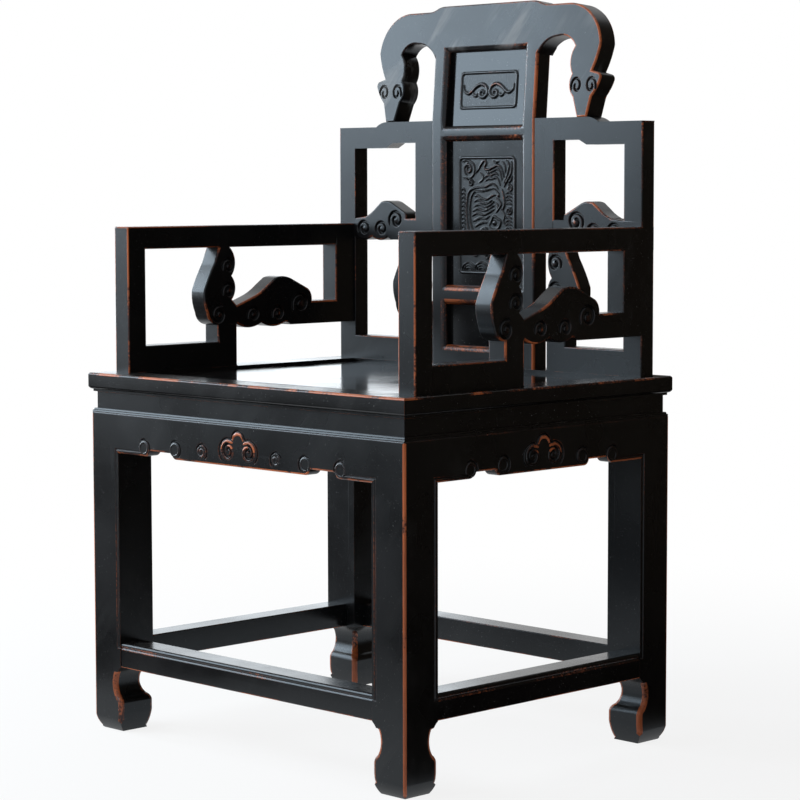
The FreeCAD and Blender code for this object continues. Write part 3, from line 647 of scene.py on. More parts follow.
def sweep(bm, face, path, half_width, section, level, mark, tapers):
    """Adds to a form a section drawn along a path on a face, slimmer at its ends.

    level gives the height of a point of the section and mark how worn and sunk a strip of it is at a place.
    """
    worn = bm.loops.layers.float["worn"]
    sunk = bm.loops.layers.float["sunk"]
    points = [Vector(p) for p in path]
    lengths = [0.0]
    for p, q in zip(points, points[1:]):
        lengths.append(lengths[-1] + (q - p).length)
    run_in = 3 * half_width / MM
    rings = []
    for i, point in enumerate(points):
        before = (point - points[i - 1]).normalized() if i else None
        after = (points[i + 1] - point).normalized() if i + 1 < len(points) else None
        before = before or after
        after = after or before
        along = (before + after).normalized()
        stretch = 1 / max(0.5, along.dot(after))
        from_start = min(1.0, lengths[i] / run_in)
        from_end = min(1.0, (lengths[-1] - lengths[i]) / run_in)
        size = min(tapers[0] + (1 - tapers[0]) * math.sqrt(from_start),
                   tapers[1] + (1 - tapers[1]) * math.sqrt(from_end))
        side = Vector((-along.y, along.x)) * (half_width / MM * size * stretch)
        ring = []
        for across, height in section:
            spot = point + side * across
            ring.append(bm.verts.new(face.at(spot.x, spot.y, level(height, size))))
        rings.append(ring)
    for i, k, strip in skin(bm, rings):
        wear, depth = mark(k, *points[i])
        for loop in strip.loops:
            loop[worn] = wear
            loop[sunk] = depth


def cut_groove(bm, face, path, half_width, depth):
    """Adds to a cutter the form of a groove with soft lips along a path on a face."""
    def level(height, size):
        return height * depth * size if height < 0 else height * MM

    def mark(k, u, v):
        return (LIP_WEAR, 0.0) if k in LIP_STRIPS else (0.0, 1.0)

    sweep(bm, face, path, half_width, GROOVE_SECTION, level, mark, GROOVE_TAPERS)


def bead_form(face, path, half_width, height_share, wear_at):
    """A round bead along a path on a face, to be joined to a member, with half its width in millimetres."""
    height = bpy.context.scene.chair_sizes.boss_height * height_share

    def level(share, size):
        return share * height * size if share > 0 else share * MM

    def mark(k, u, v):
        return wear_at(u, v), 0.0

    bm = new_cutter()
    sweep(bm, face, path, half_width * MM, BEAD_SECTION, level, mark, BEAD_TAPERS)
    return bm


def new_cutter():
    bm = bmesh.new()
    bm.loops.layers.float.new("worn")
    bm.loops.layers.float.new("sunk")
    return bm


def combine(piece, tool_bm, operation):
    """Cuts a form out of a piece, or joins one to it."""
    bmesh.ops.recalc_face_normals(tool_bm, faces=tool_bm.faces[:])
    tool = add_piece(tool_bm, piece.name + "_tool", piece.data.materials[0])
    step = piece.modifiers.new("Carving", "BOOLEAN")
    step.object = tool
    step.operation = operation
    step.solver = "EXACT"
    graph = bpy.context.evaluated_depsgraph_get()
    carved = bpy.data.meshes.new_from_object(piece.evaluated_get(graph))
    if len(carved.polygons) == 0:
        raise RuntimeError(f"the carving of {piece.name} left nothing")
    piece.modifiers.remove(step)
    plain = piece.data
    piece.data = carved
    bpy.data.meshes.remove(plain)
    tool_mesh = tool.data
    bpy.data.objects.remove(tool)
    bpy.data.meshes.remove(tool_mesh)


# Finishes

# Their noise: how fine it is, how far it swings and the levels between which a pattern appears
PATCH_SWING = 3.6
FRAY_SWING = 1.3
BARE_LEVELS = (0.42, 0.72)
THIN_LEVELS = (0.0, 0.6)
WAVE_SCALE = 14.0
CLOUD_SCALE = 7.0
CLOUD_LEVELS = (0.35, 0.7)
STREAK_LEVELS = (0.62, 0.74)
PEEL_SCALE = 420.0
FILM_SCALE = 40.0
FILM_LEVELS = (0.4, 0.75)
FILM_SLOPES = (0.5, 0.98)
SPECK_SCALE = 620.0
SPECK_LEVELS = (0.74, 0.80)
# Pale slanting smears in the dust's colour, partly dust and partly a painted sheen of light streaks
SHEEN_SMEAR_SCALE = 40.0
SHEEN_SMEAR_SLANT = 40
SHEEN_SMEAR_LENGTH = 6.0
SHEEN_SMEAR_LEVELS = (0.47, 0.7)
WIPED_SCALE = 9.0
WIPED_LEVELS = (0.46, 0.62)
TONE_SCALE = 30.0
GRAIN_LEVELS = (0.32, 0.68)
STIPPLE_SCALE = 620.0
SOFT_LEVELS = (0.3, 0.7)
STRETCHES = {"x": (0.06, 1.0, 1.0), "y": (1.0, 0.06, 1.0), "z": (1.0, 1.0, 0.06)}

# Colours as shares of others, and how far dust and the pale smears, partly painted sheen, cover them
CLOUD_TINT = 1.8
GRAIN_TINT = 0.55
WOOD_LINE_TINT = 0.5
WOOD_EDGE_TINT = 1.4
DUST_AND_SHEEN_COVER = 0.8

# Roughness that is added to the gloss of lacquer, and that of plain wood
CLOUD_ROUGH = (-0.04, 0.05)
STREAK_ROUGH = 0.05
BARE_ROUGH = 0.06
SUNK_ROUGH = 0.16
DUST_AND_SHEEN_ROUGH = 0.35
WOOD_ROUGH = (0.55, 0.75)

# Relief: shares of the height of waves, or a strength with the height of a full step in millimetres
STREAK_HEIGHT = 0.08
PEEL_HEIGHT = 0.05
BARE_STEP = 0.3
WAVE_RELIEF = (0.35, 0.6)
GRAIN_RELIEF = (0.5, 0.3)
WOOD_RELIEF = (0.5, 0.4)
STIPPLE_HEIGHT = 0.8


def place(tree, kind, inputs=None, **settings):
    """Puts a shader node in a tree, with its settings and with its inputs linked or set."""
    node = tree.nodes.new(kind)
    for key, value in settings.items():
        setattr(node, key, value)
    for key, value in (inputs or {}).items():
        if isinstance(value, bpy.types.NodeSocket):
            tree.links.new(value, node.inputs[key])
        else:
            node.inputs[key].default_value = value
    return node


def calculated(tree, operation, *values, clamp=False):
    """The result of a sum on sockets and numbers."""
    node = place(tree, "ShaderNodeMath", dict(enumerate(values)), operation=operation, use_clamp=clamp)
    return node.outputs[0]


def ramp(tree, value, low, high, to_low=0.0, to_high=1.0):
    node = place(tree, "ShaderNodeMapRange", {
        "Value": value, "From Min": low, "From Max": high, "To Min": to_low, "To Max": to_high},
        interpolation_type="SMOOTHSTEP")
    return node.outputs["Result"]


def blend_colours(tree, share, first, second):
    node = place(tree, "ShaderNodeMix", {0: share, 6: first, 7: second}, data_type="RGBA",
                 clamp_factor=True)
    return node.outputs[2]


def socket_colour(colour, share=1.0):
    """A colour, made lighter or darker by a share, as a socket takes it."""
    return (*[value * share for value in colour], 1)


def on_object(tree):
    """Places on the object itself."""
    return place(tree, "ShaderNodeTexCoord").outputs["Object"]


def drawn_out(tree, where, stretch):
    """Places drawn out along one direction."""
    return place(tree, "ShaderNodeVectorMath", {0: where, 1: stretch}, operation="MULTIPLY").outputs[0]


def carving_mark(tree, label):
    """A mark that the rounding and carving left on the mesh."""
    mark = place(tree, "ShaderNodeAttribute", attribute_name=label, attribute_type="GEOMETRY")
    return mark.outputs["Fac"]


def speckle(tree, where, scale, detail=2.0, roughness=0.5):
    node = place(tree, "ShaderNodeTexNoise", {
        "Vector": where, "Scale": scale, "Detail": detail, "Roughness": roughness})
    return node.outputs["Fac"]


def swinging(tree, noise, swing):
    """A noise about nought, as wide as its swing."""
    return calculated(tree, "MULTIPLY_ADD", noise, swing, -swing / 2)


def bump(tree, height, strength, distance, normal=None):
    """A normal bent by a height, of which a full step is a distance in millimetres."""
    inputs = {"Height": height, "Strength": strength, "Distance": distance * MM}
    if normal is not None:
        inputs["Normal"] = normal
    return place(tree, "ShaderNodeBump", inputs).outputs[0]


def node_group(name, inputs, outputs, fill):
    """A group of shader nodes with named inputs and outputs, filled when it is first asked for."""
    if name not in bpy.data.node_groups:
        group = bpy.data.node_groups.new(name, "ShaderNodeTree")
        for label, default in inputs.items():
            kind = "NodeSocketVector" if isinstance(default, tuple) else "NodeSocketFloat"
            socket = group.interface.new_socket(label, in_out="INPUT", socket_type=kind)
            socket.default_value = default
        for label in outputs:
            group.interface.new_socket(label, in_out="OUTPUT", socket_type="NodeSocketFloat")
        given = group.nodes.new("NodeGroupInput").outputs
        result = group.nodes.new("NodeGroupOutput").inputs
        for label, socket in zip(outputs, fill(group, given)):
            group.links.new(socket, result[label])
    return bpy.data.node_groups[name]


def worn_edges_group():
    """Where the lacquer is worn through along the edges, in patches with frayed borders."""
    def fill(tree, given):
        where = on_object(tree)
        mark = carving_mark(tree, "worn")
        patches = speckle(tree, where, given["Patch Scale"], 3.0)
        fray = speckle(tree, where, given["Fray Scale"], 4.0, 0.65)
        uneven = swinging(tree, patches, PATCH_SWING)
        ragged = swinging(tree, fray, FRAY_SWING)
        strength = calculated(tree, "MULTIPLY", mark, calculated(tree, "ADD", uneven, given["Amount"]))
        level = calculated(tree, "ADD", strength, ragged)
        bare = calculated(tree, "MULTIPLY", ramp(tree, level, *BARE_LEVELS), mark)
        thin = calculated(tree, "MULTIPLY", ramp(tree, level, *THIN_LEVELS), mark)
        return bare, thin

    inputs = {"Amount": 0.6, "Patch Scale": 9.0, "Fray Scale": 260.0}
    return node_group("Worn edges", inputs, ("Bare", "Thin"), fill)


def brushwork_group():
    """The streaks and soft waves that a brush leaves in lacquer."""
    def fill(tree, given):
        where = on_object(tree)
        streak = speckle(tree, drawn_out(tree, where, given["Stretch"]), given["Scale"], 4.0, 0.6)
        waves = speckle(tree, where, WAVE_SCALE, 1.0)
        cloud = speckle(tree, where, CLOUD_SCALE, 3.0, 0.55)
        peel = speckle(tree, where, PEEL_SCALE, 1.0)
        height = calculated(tree, "ADD", waves, calculated(tree, "MULTIPLY", streak, STREAK_HEIGHT))
        height = calculated(tree, "ADD", height, calculated(tree, "MULTIPLY", peel, PEEL_HEIGHT))
        return streak, height, cloud

    inputs = {"Stretch": (1.0, 1.0, 1.0), "Scale": 60.0}
    return node_group("Brushed lacquer", inputs, ("Streak", "Height", "Cloud"), fill)


def dust_and_sheen_group():
    """Specks, slanting smears that are partly dust and partly painted sheen, and, on what faces upward, a
    thin film of dust.
    """
    def fill(tree, given):
        where = on_object(tree)
        normal = place(tree, "ShaderNodeNewGeometry").outputs["Normal"]
        upward = place(tree, "ShaderNodeSeparateXYZ", {0: normal}).outputs["Z"]
        patches = ramp(tree, speckle(tree, where, FILM_SCALE, 4.0, 0.7), *FILM_LEVELS)
        film = calculated(tree, "MULTIPLY", ramp(tree, upward, *FILM_SLOPES), patches)
        film = calculated(tree, "MULTIPLY", film, given["Film"])
        grains = ramp(tree, speckle(tree, where, SPECK_SCALE, 1.0), *SPECK_LEVELS)
        grains = calculated(tree, "MULTIPLY", grains, given["Specks"])
        slanted = place(tree, "ShaderNodeMapping", {
            "Vector": where, "Rotation": (0.0, math.radians(SHEEN_SMEAR_SLANT), 0.0),
            "Scale": (1.0, 1.0, SHEEN_SMEAR_LENGTH)}, vector_type="TEXTURE").outputs[0]
        sheen_smears = ramp(tree, speckle(tree, slanted, SHEEN_SMEAR_SCALE, 3.0, 0.6), *SHEEN_SMEAR_LEVELS)
        wiped = ramp(tree, speckle(tree, where, WIPED_SCALE, 1.0), *WIPED_LEVELS)
        sheen_smears = calculated(tree, "MULTIPLY", calculated(tree, "MULTIPLY", sheen_smears, wiped), given["Smears"])
        mask = calculated(tree, "MAXIMUM", film, calculated(tree, "MAXIMUM", grains, sheen_smears), clamp=True)
        return (mask,)

    return node_group("Settled dust", {"Film": 0.1, "Specks": 0.5, "Smears": 0.1}, ("Mask",), fill)


def grain_group():
    """The lines of wood grain along one direction."""
    def fill(tree, given):
        where = on_object(tree)
        line = speckle(tree, drawn_out(tree, where, given["Stretch"]), given["Scale"], 5.0, 0.7)
        tone = speckle(tree, where, TONE_SCALE, 2.0)
        return line, tone

    return node_group("Wood grain", {"Stretch": (1.0, 1.0, 1.0), "Scale": 120.0}, ("Line", "Tone"), fill)


def use_group(tree, group, **values):
    """Places a group with its own values and gives its outputs."""
    node = place(tree, "ShaderNodeGroup", node_tree=group)
    for key, value in values.items():
        node.inputs[key.replace("_", " ")].default_value = value
    return node.outputs


def new_material(name):
    material = bpy.data.materials.new(name)
    material.use_nodes = True
    material.node_tree.nodes.clear()
    return material, material.node_tree


def shader_to_surface(tree, inputs, **plain):
    """Gives a material its shader, with inputs that change over the surface and plain ones."""
    shader = place(tree, "ShaderNodeBsdfPrincipled", inputs)
    for key, value in plain.items():
        shader.inputs[key.replace("_", " ")].default_value = value
    place(tree, "ShaderNodeOutputMaterial", {"Surface": shader.outputs[0]})


def lacquer_colour(tree, edges, brush, grain, dust_and_sheen_mask):
    """Cloudy black, rubbed to its undercoat beside the edges and to bare wood on them, under dust and pale
    smears that are partly painted sheen.
    """
    colours = bpy.context.scene.chair_colours
    black = blend_colours(tree, ramp(tree, brush["Cloud"], *CLOUD_LEVELS),
                          socket_colour(colours.lacquer), socket_colour(colours.lacquer, CLOUD_TINT))
    rubbed = blend_colours(tree, edges["Thin"], black, socket_colour(colours.undercoat))
    wood = blend_colours(tree, ramp(tree, grain["Line"], *GRAIN_LEVELS),
                         socket_colour(colours.bare, GRAIN_TINT), socket_colour(colours.bare))
    worn = blend_colours(tree, edges["Bare"], rubbed, wood)
    return blend_colours(tree, dust_and_sheen_mask, worn, socket_colour(colours.dust))


def lacquer_roughness(tree, gloss, bare, brush, dust_and_sheen_mask, sunk):
    """Rougher than its gloss in brush streaks and where the lacquer is worn, carved, dusty or under pale
    smears that are partly painted sheen.
    """
    low, high = CLOUD_ROUGH
    rough = ramp(tree, brush["Cloud"], *SOFT_LEVELS, gloss + low, gloss + high)
    rough = calculated(tree, "ADD", rough, ramp(tree, brush["Streak"], *STREAK_LEVELS, 0.0, STREAK_ROUGH))
    for mask, share in ((bare, BARE_ROUGH), (sunk, SUNK_ROUGH), (dust_and_sheen_mask, DUST_AND_SHEEN_ROUGH)):
        rough = calculated(tree, "ADD", rough, calculated(tree, "MULTIPLY", mask, share), clamp=True)
    return rough


def lacquer_relief(tree, bare, brush, grain, sunk, stipple):
    """Brush waves, a step down to the grain of bare wood and a stippled ground."""
    waves = bump(tree, brush["Height"], *WAVE_RELIEF)
    lines = calculated(tree, "MULTIPLY", grain["Line"], bare)
    ground = calculated(tree, "MULTIPLY_ADD", bare, -BARE_STEP, lines)
    normal = bump(tree, ground, *GRAIN_RELIEF, waves)
    if stipple:
        dots = place(tree, "ShaderNodeTexVoronoi", {"Vector": on_object(tree), "Scale": STIPPLE_SCALE})
        pits = calculated(tree, "MULTIPLY", dots.outputs["Distance"], sunk)
        normal = bump(tree, pits, stipple, STIPPLE_HEIGHT, normal)
    return normal


def lacquer(name, direction, wear, gloss=0.28, patch=9.0, film=0.03, specks=0.5, sheen_smears=0.02, stipple=0.0):
    """Black lacquer over wood, brushed along one direction and worn at its edges."""
    if name in bpy.data.materials:
        return bpy.data.materials[name]
    material, tree = new_material(name)
    edges = use_group(tree, worn_edges_group(), Amount=wear, Patch_Scale=patch)
    brush = use_group(tree, brushwork_group(), Stretch=STRETCHES[direction])
    # Dust, with pale slanting smears that are partly painted sheen
    dust = use_group(tree, dust_and_sheen_group(), Film=film, Specks=specks, Smears=sheen_smears)
    grain = use_group(tree, grain_group(), Stretch=STRETCHES[direction])
    sunk = carving_mark(tree, "sunk")
    dust_and_sheen_mask = calculated(tree, "MULTIPLY", dust["Mask"], DUST_AND_SHEEN_COVER)
    shader_to_surface(tree, {
        "Base Color": lacquer_colour(tree, edges, brush, grain, dust_and_sheen_mask),
        "Roughness": lacquer_roughness(tree, gloss, edges["Bare"], brush, dust_and_sheen_mask, sunk),
        "Normal": lacquer_relief(tree, edges["Bare"], brush, grain, sunk, stipple),
    }, Specular_IOR_Level=0.33, Specular_Tint=socket_colour(bpy.context.scene.chair_colours.sheen))
    return material


def unfinished_wood():
    """Plain wood for what is never seen from above."""
    name = "unfinished_wood"
    if name in bpy.data.materials:
        return bpy.data.materials[name]
    shade = bpy.context.scene.chair_colours.plain_wood
    material, tree = new_material(name)
    grain = use_group(tree, grain_group(), Stretch=STRETCHES["y"], Scale=150.0)
    edges = use_group(tree, worn_edges_group(), Amount=0.4)
    colour = blend_colours(tree, ramp(tree, grain["Line"], *SOFT_LEVELS),
                           socket_colour(shade, WOOD_LINE_TINT), socket_colour(shade))
    shader_to_surface(tree, {
        "Base Color": blend_colours(tree, edges["Thin"], colour, socket_colour(shade, WOOD_EDGE_TINT)),
        "Roughness": ramp(tree, grain["Tone"], *SOFT_LEVELS, *WOOD_ROUGH),
        "Normal": bump(tree, grain["Line"], *WOOD_RELIEF),
    })
    return material


def dress(node, radius, material, slot="black_lacquer", raised=(), cutters=(), crease=CREASE_ANGLE,
          **rounding):
    """Rounds a member, joins and cuts its carving and gives it its finish."""
    piece = add_piece(rounded_member(node, radius, **rounding), node + "_finished", material)
    for form in raised:
        combine(piece, form, "UNION")
    for cutter in cutters:
        combine(piece, cutter, "DIFFERENCE")
    smooth(piece, crease)
    seat_on_frame(piece, node)


# The base

def bead_path(half_opening, curl):
    """The groove beside an opening's bead, from the stretcher up the leg and along the apron to a curl."""
    leg = half_opening + BEAD_OFFSET
    level = APRON_FOOT + BEAD_OFFSET
    return [(half_opening - BEAD_LEAD, STRETCHER_GROOVE), (leg, STRETCHER_GROOVE), (leg, level),
            (curl + CURL_GAP, level)]


def curl_height(order):
    """How high the middle of the first or the second curl of an apron lies."""
    return APRON_FOOT + BEAD_OFFSET + CURL_RISES[order]


def bead_cutter(face, half_opening, curls, side):
    """The bead groove of one half of one side of the base."""
    sizes = bpy.context.scene.chair_sizes
    path = mirrored(bead_path(half_opening, curls[0]), side)
    bm = new_cutter()
    cut_groove(bm, face, path, sizes.bead_width, sizes.bead_depth)
    return bm


def fine_groove(bm, face, path, share):
    """Adds to a cutter a groove that is a share of a scroll's."""
    sizes = bpy.context.scene.chair_sizes
    cut_groove(bm, face, path, sizes.scroll_width * share, sizes.scroll_depth * share)


def apron_cutter(face, curls, scrolls, side):
    """The crescents round the curls and scrolls and the eye of the ruyi head of one half of an apron."""
    crescents = [(curl, curl_height(order), CURL_RADIUS + CRESCENT_GAP, *CURL_CRESCENT)
                 for order, curl in enumerate(curls)]
    crescents += [(u, v, radius, *SCROLL_CRESCENT) for u, v, radius, _, _ in scrolls]
    bm = new_cutter()
    for crescent in crescents:
        fine_groove(bm, face, mirrored(scroll_path(*crescent, eye=CRESCENT_EYE), side), CRESCENT_GROOVE)
    cut_scroll(bm, face, RUYI_SCROLL, side, RUYI_STRETCH)
    return bm


def brow_cutter(face):
    """The groove over the shoulders and the arch of a ruyi head."""
    shoulder = scroll_path(*RUYI_SHOULDER, eye=1.0, steps_per_turn=18, stretch=RUYI_STRETCH)
    half = [*shoulder, *RUYI_BROW]
    brow = smooth_path([*half, *mirrored(half[-2::-1], -1)], per_span=3)
    bm = new_cutter()
    fine_groove(bm, face, brow, RUYI_BROW_GROOVE)
    return bm


def ruyi_wear(u, v):
    """The shoulders of a ruyi head are worn most."""
    return 1.0 if v > RUYI_HEIGHT + RUYI_WORN else 0.4


def curl_wear(u, v):
    return 0.3


def apron_beads(face, curls, scrolls):
    """The raised parts of an apron: the coils and arch of its ruyi head, its curls and its small coils."""
    coil = scroll_path(*RUYI_COIL, eye=RUYI_COIL_EYE, stretch=RUYI_STRETCH)
    forms = [bead_form(face, smooth_path(RUYI_ARCH), *RUYI_ARCH_BEAD, ruyi_wear)]
    for side in SIDES:
        forms.append(bead_form(face, mirrored(coil, side), *RUYI_COIL_BEAD, ruyi_wear))
        for order, curl in enumerate(curls):
            ring = scroll_path(curl, curl_height(order), CURL_RADIUS, *CURL_RING, eye=CURL_EYE)
            forms.append(bead_form(face, mirrored(ring, side), *CURL_BEAD, curl_wear))
        for u, v, radius, mouth, turns in scrolls:
            small_coil = scroll_path(u, v, radius - CRESCENT_GAP, mouth, turns, eye=SMALL_COIL_EYE)
            forms.append(bead_form(face, mirrored(small_coil, side), *SMALL_COIL_BEAD, ruyi_wear))
    return forms


def base_faces():
    """Each side of the base: its face, half its opening's width and the places of its curls and scrolls."""
    return {
        "front": (front_face(-BASE_HALF_DEPTH), OPENING_HALF_WIDTH, FRONT_APRON_CURLS, FRONT_APRON_SCROLLS),
        "rear": (rear_face(BASE_HALF_DEPTH), OPENING_HALF_WIDTH, FRONT_APRON_CURLS, FRONT_APRON_SCROLLS),
        "right": (side_face(BASE_HALF_WIDTH), OPENING_HALF_DEPTH, SIDE_APRON_CURLS, ()),
        "left": (side_face(-BASE_HALF_WIDTH), OPENING_HALF_DEPTH, SIDE_APRON_CURLS, ()),
    }


def at_outer_corner(x, y, z):
    """Whether a point lies on an outer corner of the base."""
    return abs(x) > BASE_HALF_WIDTH - OUTER_CORNER and abs(y) > BASE_HALF_DEPTH - OUTER_CORNER


def on_hoof(z):
    """Whether a height lies between the foot and the top of a hoof."""
    return HOOF_FOOT < z < HOOF_TOP


def at_hoof_front(x, y, z):
    """Whether a point lies on an inner edge of the front or rear face of a hoof."""
    return on_hoof(z) and abs(y) > BASE_HALF_DEPTH - 1 and abs(x) < BASE_HALF_WIDTH - HOOF_INSET


def at_hoof_side(x, y, z):
    """Whether a point lies on an inner edge of the outer side of a hoof."""
    return on_hoof(z) and abs(x) > BASE_HALF_WIDTH - 1 and abs(y) < BASE_HALF_DEPTH - HOOF_INSET


def at_hoof_inside(x, y, z):
    """Whether a point lies on the inmost edge of a hoof."""
    return on_hoof(z) and abs(x) < BASE_HALF_WIDTH - HOOF_INSET and abs(y) < BASE_HALF_DEPTH - HOOF_INSET


def leg_wear(x, y, z):
    """The outer corners of the legs are worn most."""
    return 1.0 if at_outer_corner(x, y, z) else 0.72


def apron_wear(x, y, z):
    """The lower edge of an apron is worn most, and more so under and beside a ruyi head."""
    if z > APRON_FOOT + APRON_LOBES:
        return 0.3
    start, end = APRON_WORN
    return 1.3 if start < min(x, y, key=abs) < end else 0.7


def stretcher_wear(x, y, z):
    """The lower edge of a stretcher is worn most."""
    return 1.0 if z < STRETCHER_GROOVE - STRETCHER_LOWER else 0.55


class ARMCHAIR_OT_legs(bpy.types.Operator):
    """Round the four hoofed legs and cut the bead grooves of their outer faces"""

    bl_idname = "armchair.legs"
    bl_label = "Legs"

    def execute(self, context):
        sizes = context.scene.chair_sizes
        finish = lacquer("leg_lacquer", "z", wear=0.95, patch=7.0)
        faces = base_faces()
        for end, along in ENDS.items():
            for hand, across in HANDS.items():
                cutters = [bead_cutter(*faces[end][:3], across), bead_cutter(*faces[hand][:3], along)]
                dress(f"leg_{end}_{hand}", sizes.seat_round, finish, cutters=cutters, wear_at=leg_wear,
                      fuller=((sizes.leg_round, at_outer_corner), (sizes.hoof_round, at_hoof_front),
                              (sizes.hoof_round, at_hoof_side), (sizes.hoof_round, at_hoof_inside)))
        return {"FINISHED"}


class ARMCHAIR_OT_aprons(bpy.types.Operator):
    """Round the aprons and cut their curls, scrolls and ruyi heads"""

    bl_idname = "armchair.aprons"
    bl_label = "Aprons"

    def execute(self, context):
        for name, (face, half_opening, curls, scrolls) in base_faces().items():
            finish = lacquer(f"apron_lacquer_{RUNS[name]}", RUNS[name], wear=0.8, patch=16.0)
            cutters = [bead_cutter(face, half_opening, curls, side) for side in SIDES]
            cutters += [apron_cutter(face, curls, scrolls, side) for side in SIDES]
            cutters.append(brow_cutter(face))
            dress(f"apron_{name}", context.scene.chair_sizes.apron_round, finish, cutters=cutters,
                  raised=apron_beads(face, curls, scrolls), wear_at=apron_wear, clamped=False)
        return {"FINISHED"}


class ARMCHAIR_OT_stretchers(bpy.types.Operator):
    """Round and lacquer the stretchers"""

    bl_idname = "armchair.stretchers"
    bl_label = "Stretchers"

    def execute(self, context):
        for name, direction in RUNS.items():
            finish = lacquer(f"stretcher_lacquer_{direction}", direction, wear=0.55, gloss=0.22, patch=12.0,
                             film=0.12)
            dress(f"stretcher_{name}", context.scene.chair_sizes.seat_round, finish, wear_at=stretcher_wear)
        return {"FINISHED"}


def at_seat_edge(x, y, z):
    """Whether a point lies on the upper outer edge of the seat."""
    return z > SEAT_TOP - SEAT_EDGE and (abs(x) > BASE_HALF_WIDTH or abs(y) > BASE_HALF_DEPTH)


def waist_fillet(name):
    """The sloping fillet at the foot of one side of the waist."""
    along_x = RUNS[name] == "x"
    half, depth = (BASE_HALF_WIDTH, BASE_HALF_DEPTH) if along_x else (BASE_HALF_DEPTH, BASE_HALF_WIDTH)
    sign = (ENDS | HANDS)[name]
    bm = new_cutter()
    rings = []
    for end in SIDES:
        ring = []
        for inset, rise in WAIST_FILLET:
            u, v, z = end * (half - inset), sign * (depth - inset), APRON_TOP + rise
            ring.append(bm.verts.new(Vector((u, v, z) if along_x else (v, u, z)) * MM))
        rings.append(ring)
    skin(bm, rings)
    return bm


class ARMCHAIR_OT_seat(bpy.types.Operator):
    """Round and lacquer the waist, the seat frame, its panel and the battens below"""

    bl_idname = "armchair.seat"
    bl_label = "Seat"

    def execute(self, context):
        edge = context.scene.chair_sizes.seat_round
        for name, direction in RUNS.items():
            waist = lacquer(f"waist_lacquer_{direction}", direction, wear=0.15, specks=0.9)
            dress(f"waist_{name}", edge * WAIST_ROUND, waist, raised=[waist_fillet(name)])
            rail = lacquer(f"seat_rail_lacquer_{direction}", direction, wear=0.5, gloss=0.2, patch=14.0,
                           film=0.1)
            dress(f"seat_rail_{name}", edge, rail, fuller=((edge * SEAT_EDGE_ROUND, at_seat_edge),))
        panel = lacquer("seat_panel_lacquer", "x", wear=0.2, gloss=0.1, film=0.06)
        dress("seat_panel", edge * PANEL_ROUND, panel, slot="seat_lacquer")
        for hand in HANDS:
            dress(f"seat_batten_{hand}", edge, unfinished_wood(), slot="bare_wood")
        return {"FINISHED"}


# The arms and the back, with the directions along which their straight members run

ARM_MEMBERS = {"front_post": "z", "rear_post": "z", "top_rail": "y", "foot_rail": "y"}
BACK_MEMBERS = {"outer_stile": "z", "inner_stile": "z", "top_rail": "x", "foot_rail": "x"}


def scroll_cutters(faces, scrolls, side=1, stretch=1.0):
    """One cutter for each face that is carved with scrolls."""
    cutters = []
    for face in faces:
        bm = new_cutter()
        for scroll in scrolls:
            cut_scroll(bm, face, scroll, side, stretch)
        cutters.append(bm)
    return cutters


def scroll_bosses(faces, scrolls, side=1):
    """The raised eyes of the scrolls of each carved face."""
    forms = []
    for face in faces:
        for u, v, radius, _, _ in scrolls:
            eye = boss_stroke(u * side, 0, radius * BOSS_SHARE)
            forms.append(relief_form(face, v, BOSS_REACH, BOSS_REACH, [eye], raised=True, middle=u * side))
    return forms


def arm_wear(x, y, z):
    """The front edges of the arms are worn most."""
    return 1.0 if y < -BASE_HALF_DEPTH + ARM_FRONT else 0.5


class ARMCHAIR_OT_arm_frames(bpy.types.Operator):
    """Round and lacquer the straight members of the arms"""

    bl_idname = "armchair.arm_frames"
    bl_label = "Arm frames"

    def execute(self, context):
        edge = context.scene.chair_sizes.frame_round
        for member, direction in ARM_MEMBERS.items():
            finish = lacquer(f"arm_lacquer_{direction}", direction, wear=0.85, patch=8.0)
            for hand in HANDS:
                dress(f"arm_{member}_{hand}", edge, finish, wear_at=arm_wear)
        return {"FINISHED"}


def at_splat_front_corner(x, y, z):
    """Whether a point lies on an outer front edge of the splat."""
    front = HEAD_FRONT + max(0, z - HEAD_FOOT) * math.tan(math.radians(HEAD_LEAN))
    return abs(x) > SPLAT_HALF_WIDTH - SPLAT_FRONT and y < front + SPLAT_FRONT


def splat_wear(x, y, z):
    """The right-hand edges of the splat are worn most."""
    return 1.15 if x > SPLAT_HALF_WIDTH - SPLAT_EDGE else 0.45


class ARMCHAIR_OT_back_frames(bpy.types.Operator):
    """Round and lacquer the straight members of the back and the frame of its splat"""

    bl_idname = "armchair.back_frames"
    bl_label = "Back frames"

    def execute(self, context):
        edge = context.scene.chair_sizes.frame_round
        for member, direction in BACK_MEMBERS.items():
            finish = lacquer(f"back_lacquer_{direction}", direction, wear=0.35, patch=9.0)
            for hand in HANDS:
                dress(f"back_{member}_{hand}", edge, finish)
        upright = lacquer("splat_lacquer_z", "z", wear=0.62, patch=9.0)
        corners = (context.scene.chair_sizes.splat_round, at_splat_front_corner)
        for hand in HANDS:
            dress(f"splat_stile_{hand}", edge * SPLAT_INNER_ROUND, upright, wear_at=splat_wear,
                  clamped=False, fuller=(corners,))
        level = lacquer("splat_lacquer_x", "x", wear=0.45, patch=9.0)
        for place_name in ("foot", "lower", "upper"):
            dress(f"splat_rail_{place_name}", edge * SPLAT_INNER_ROUND, level, clamped=False)
        return {"FINISHED"}


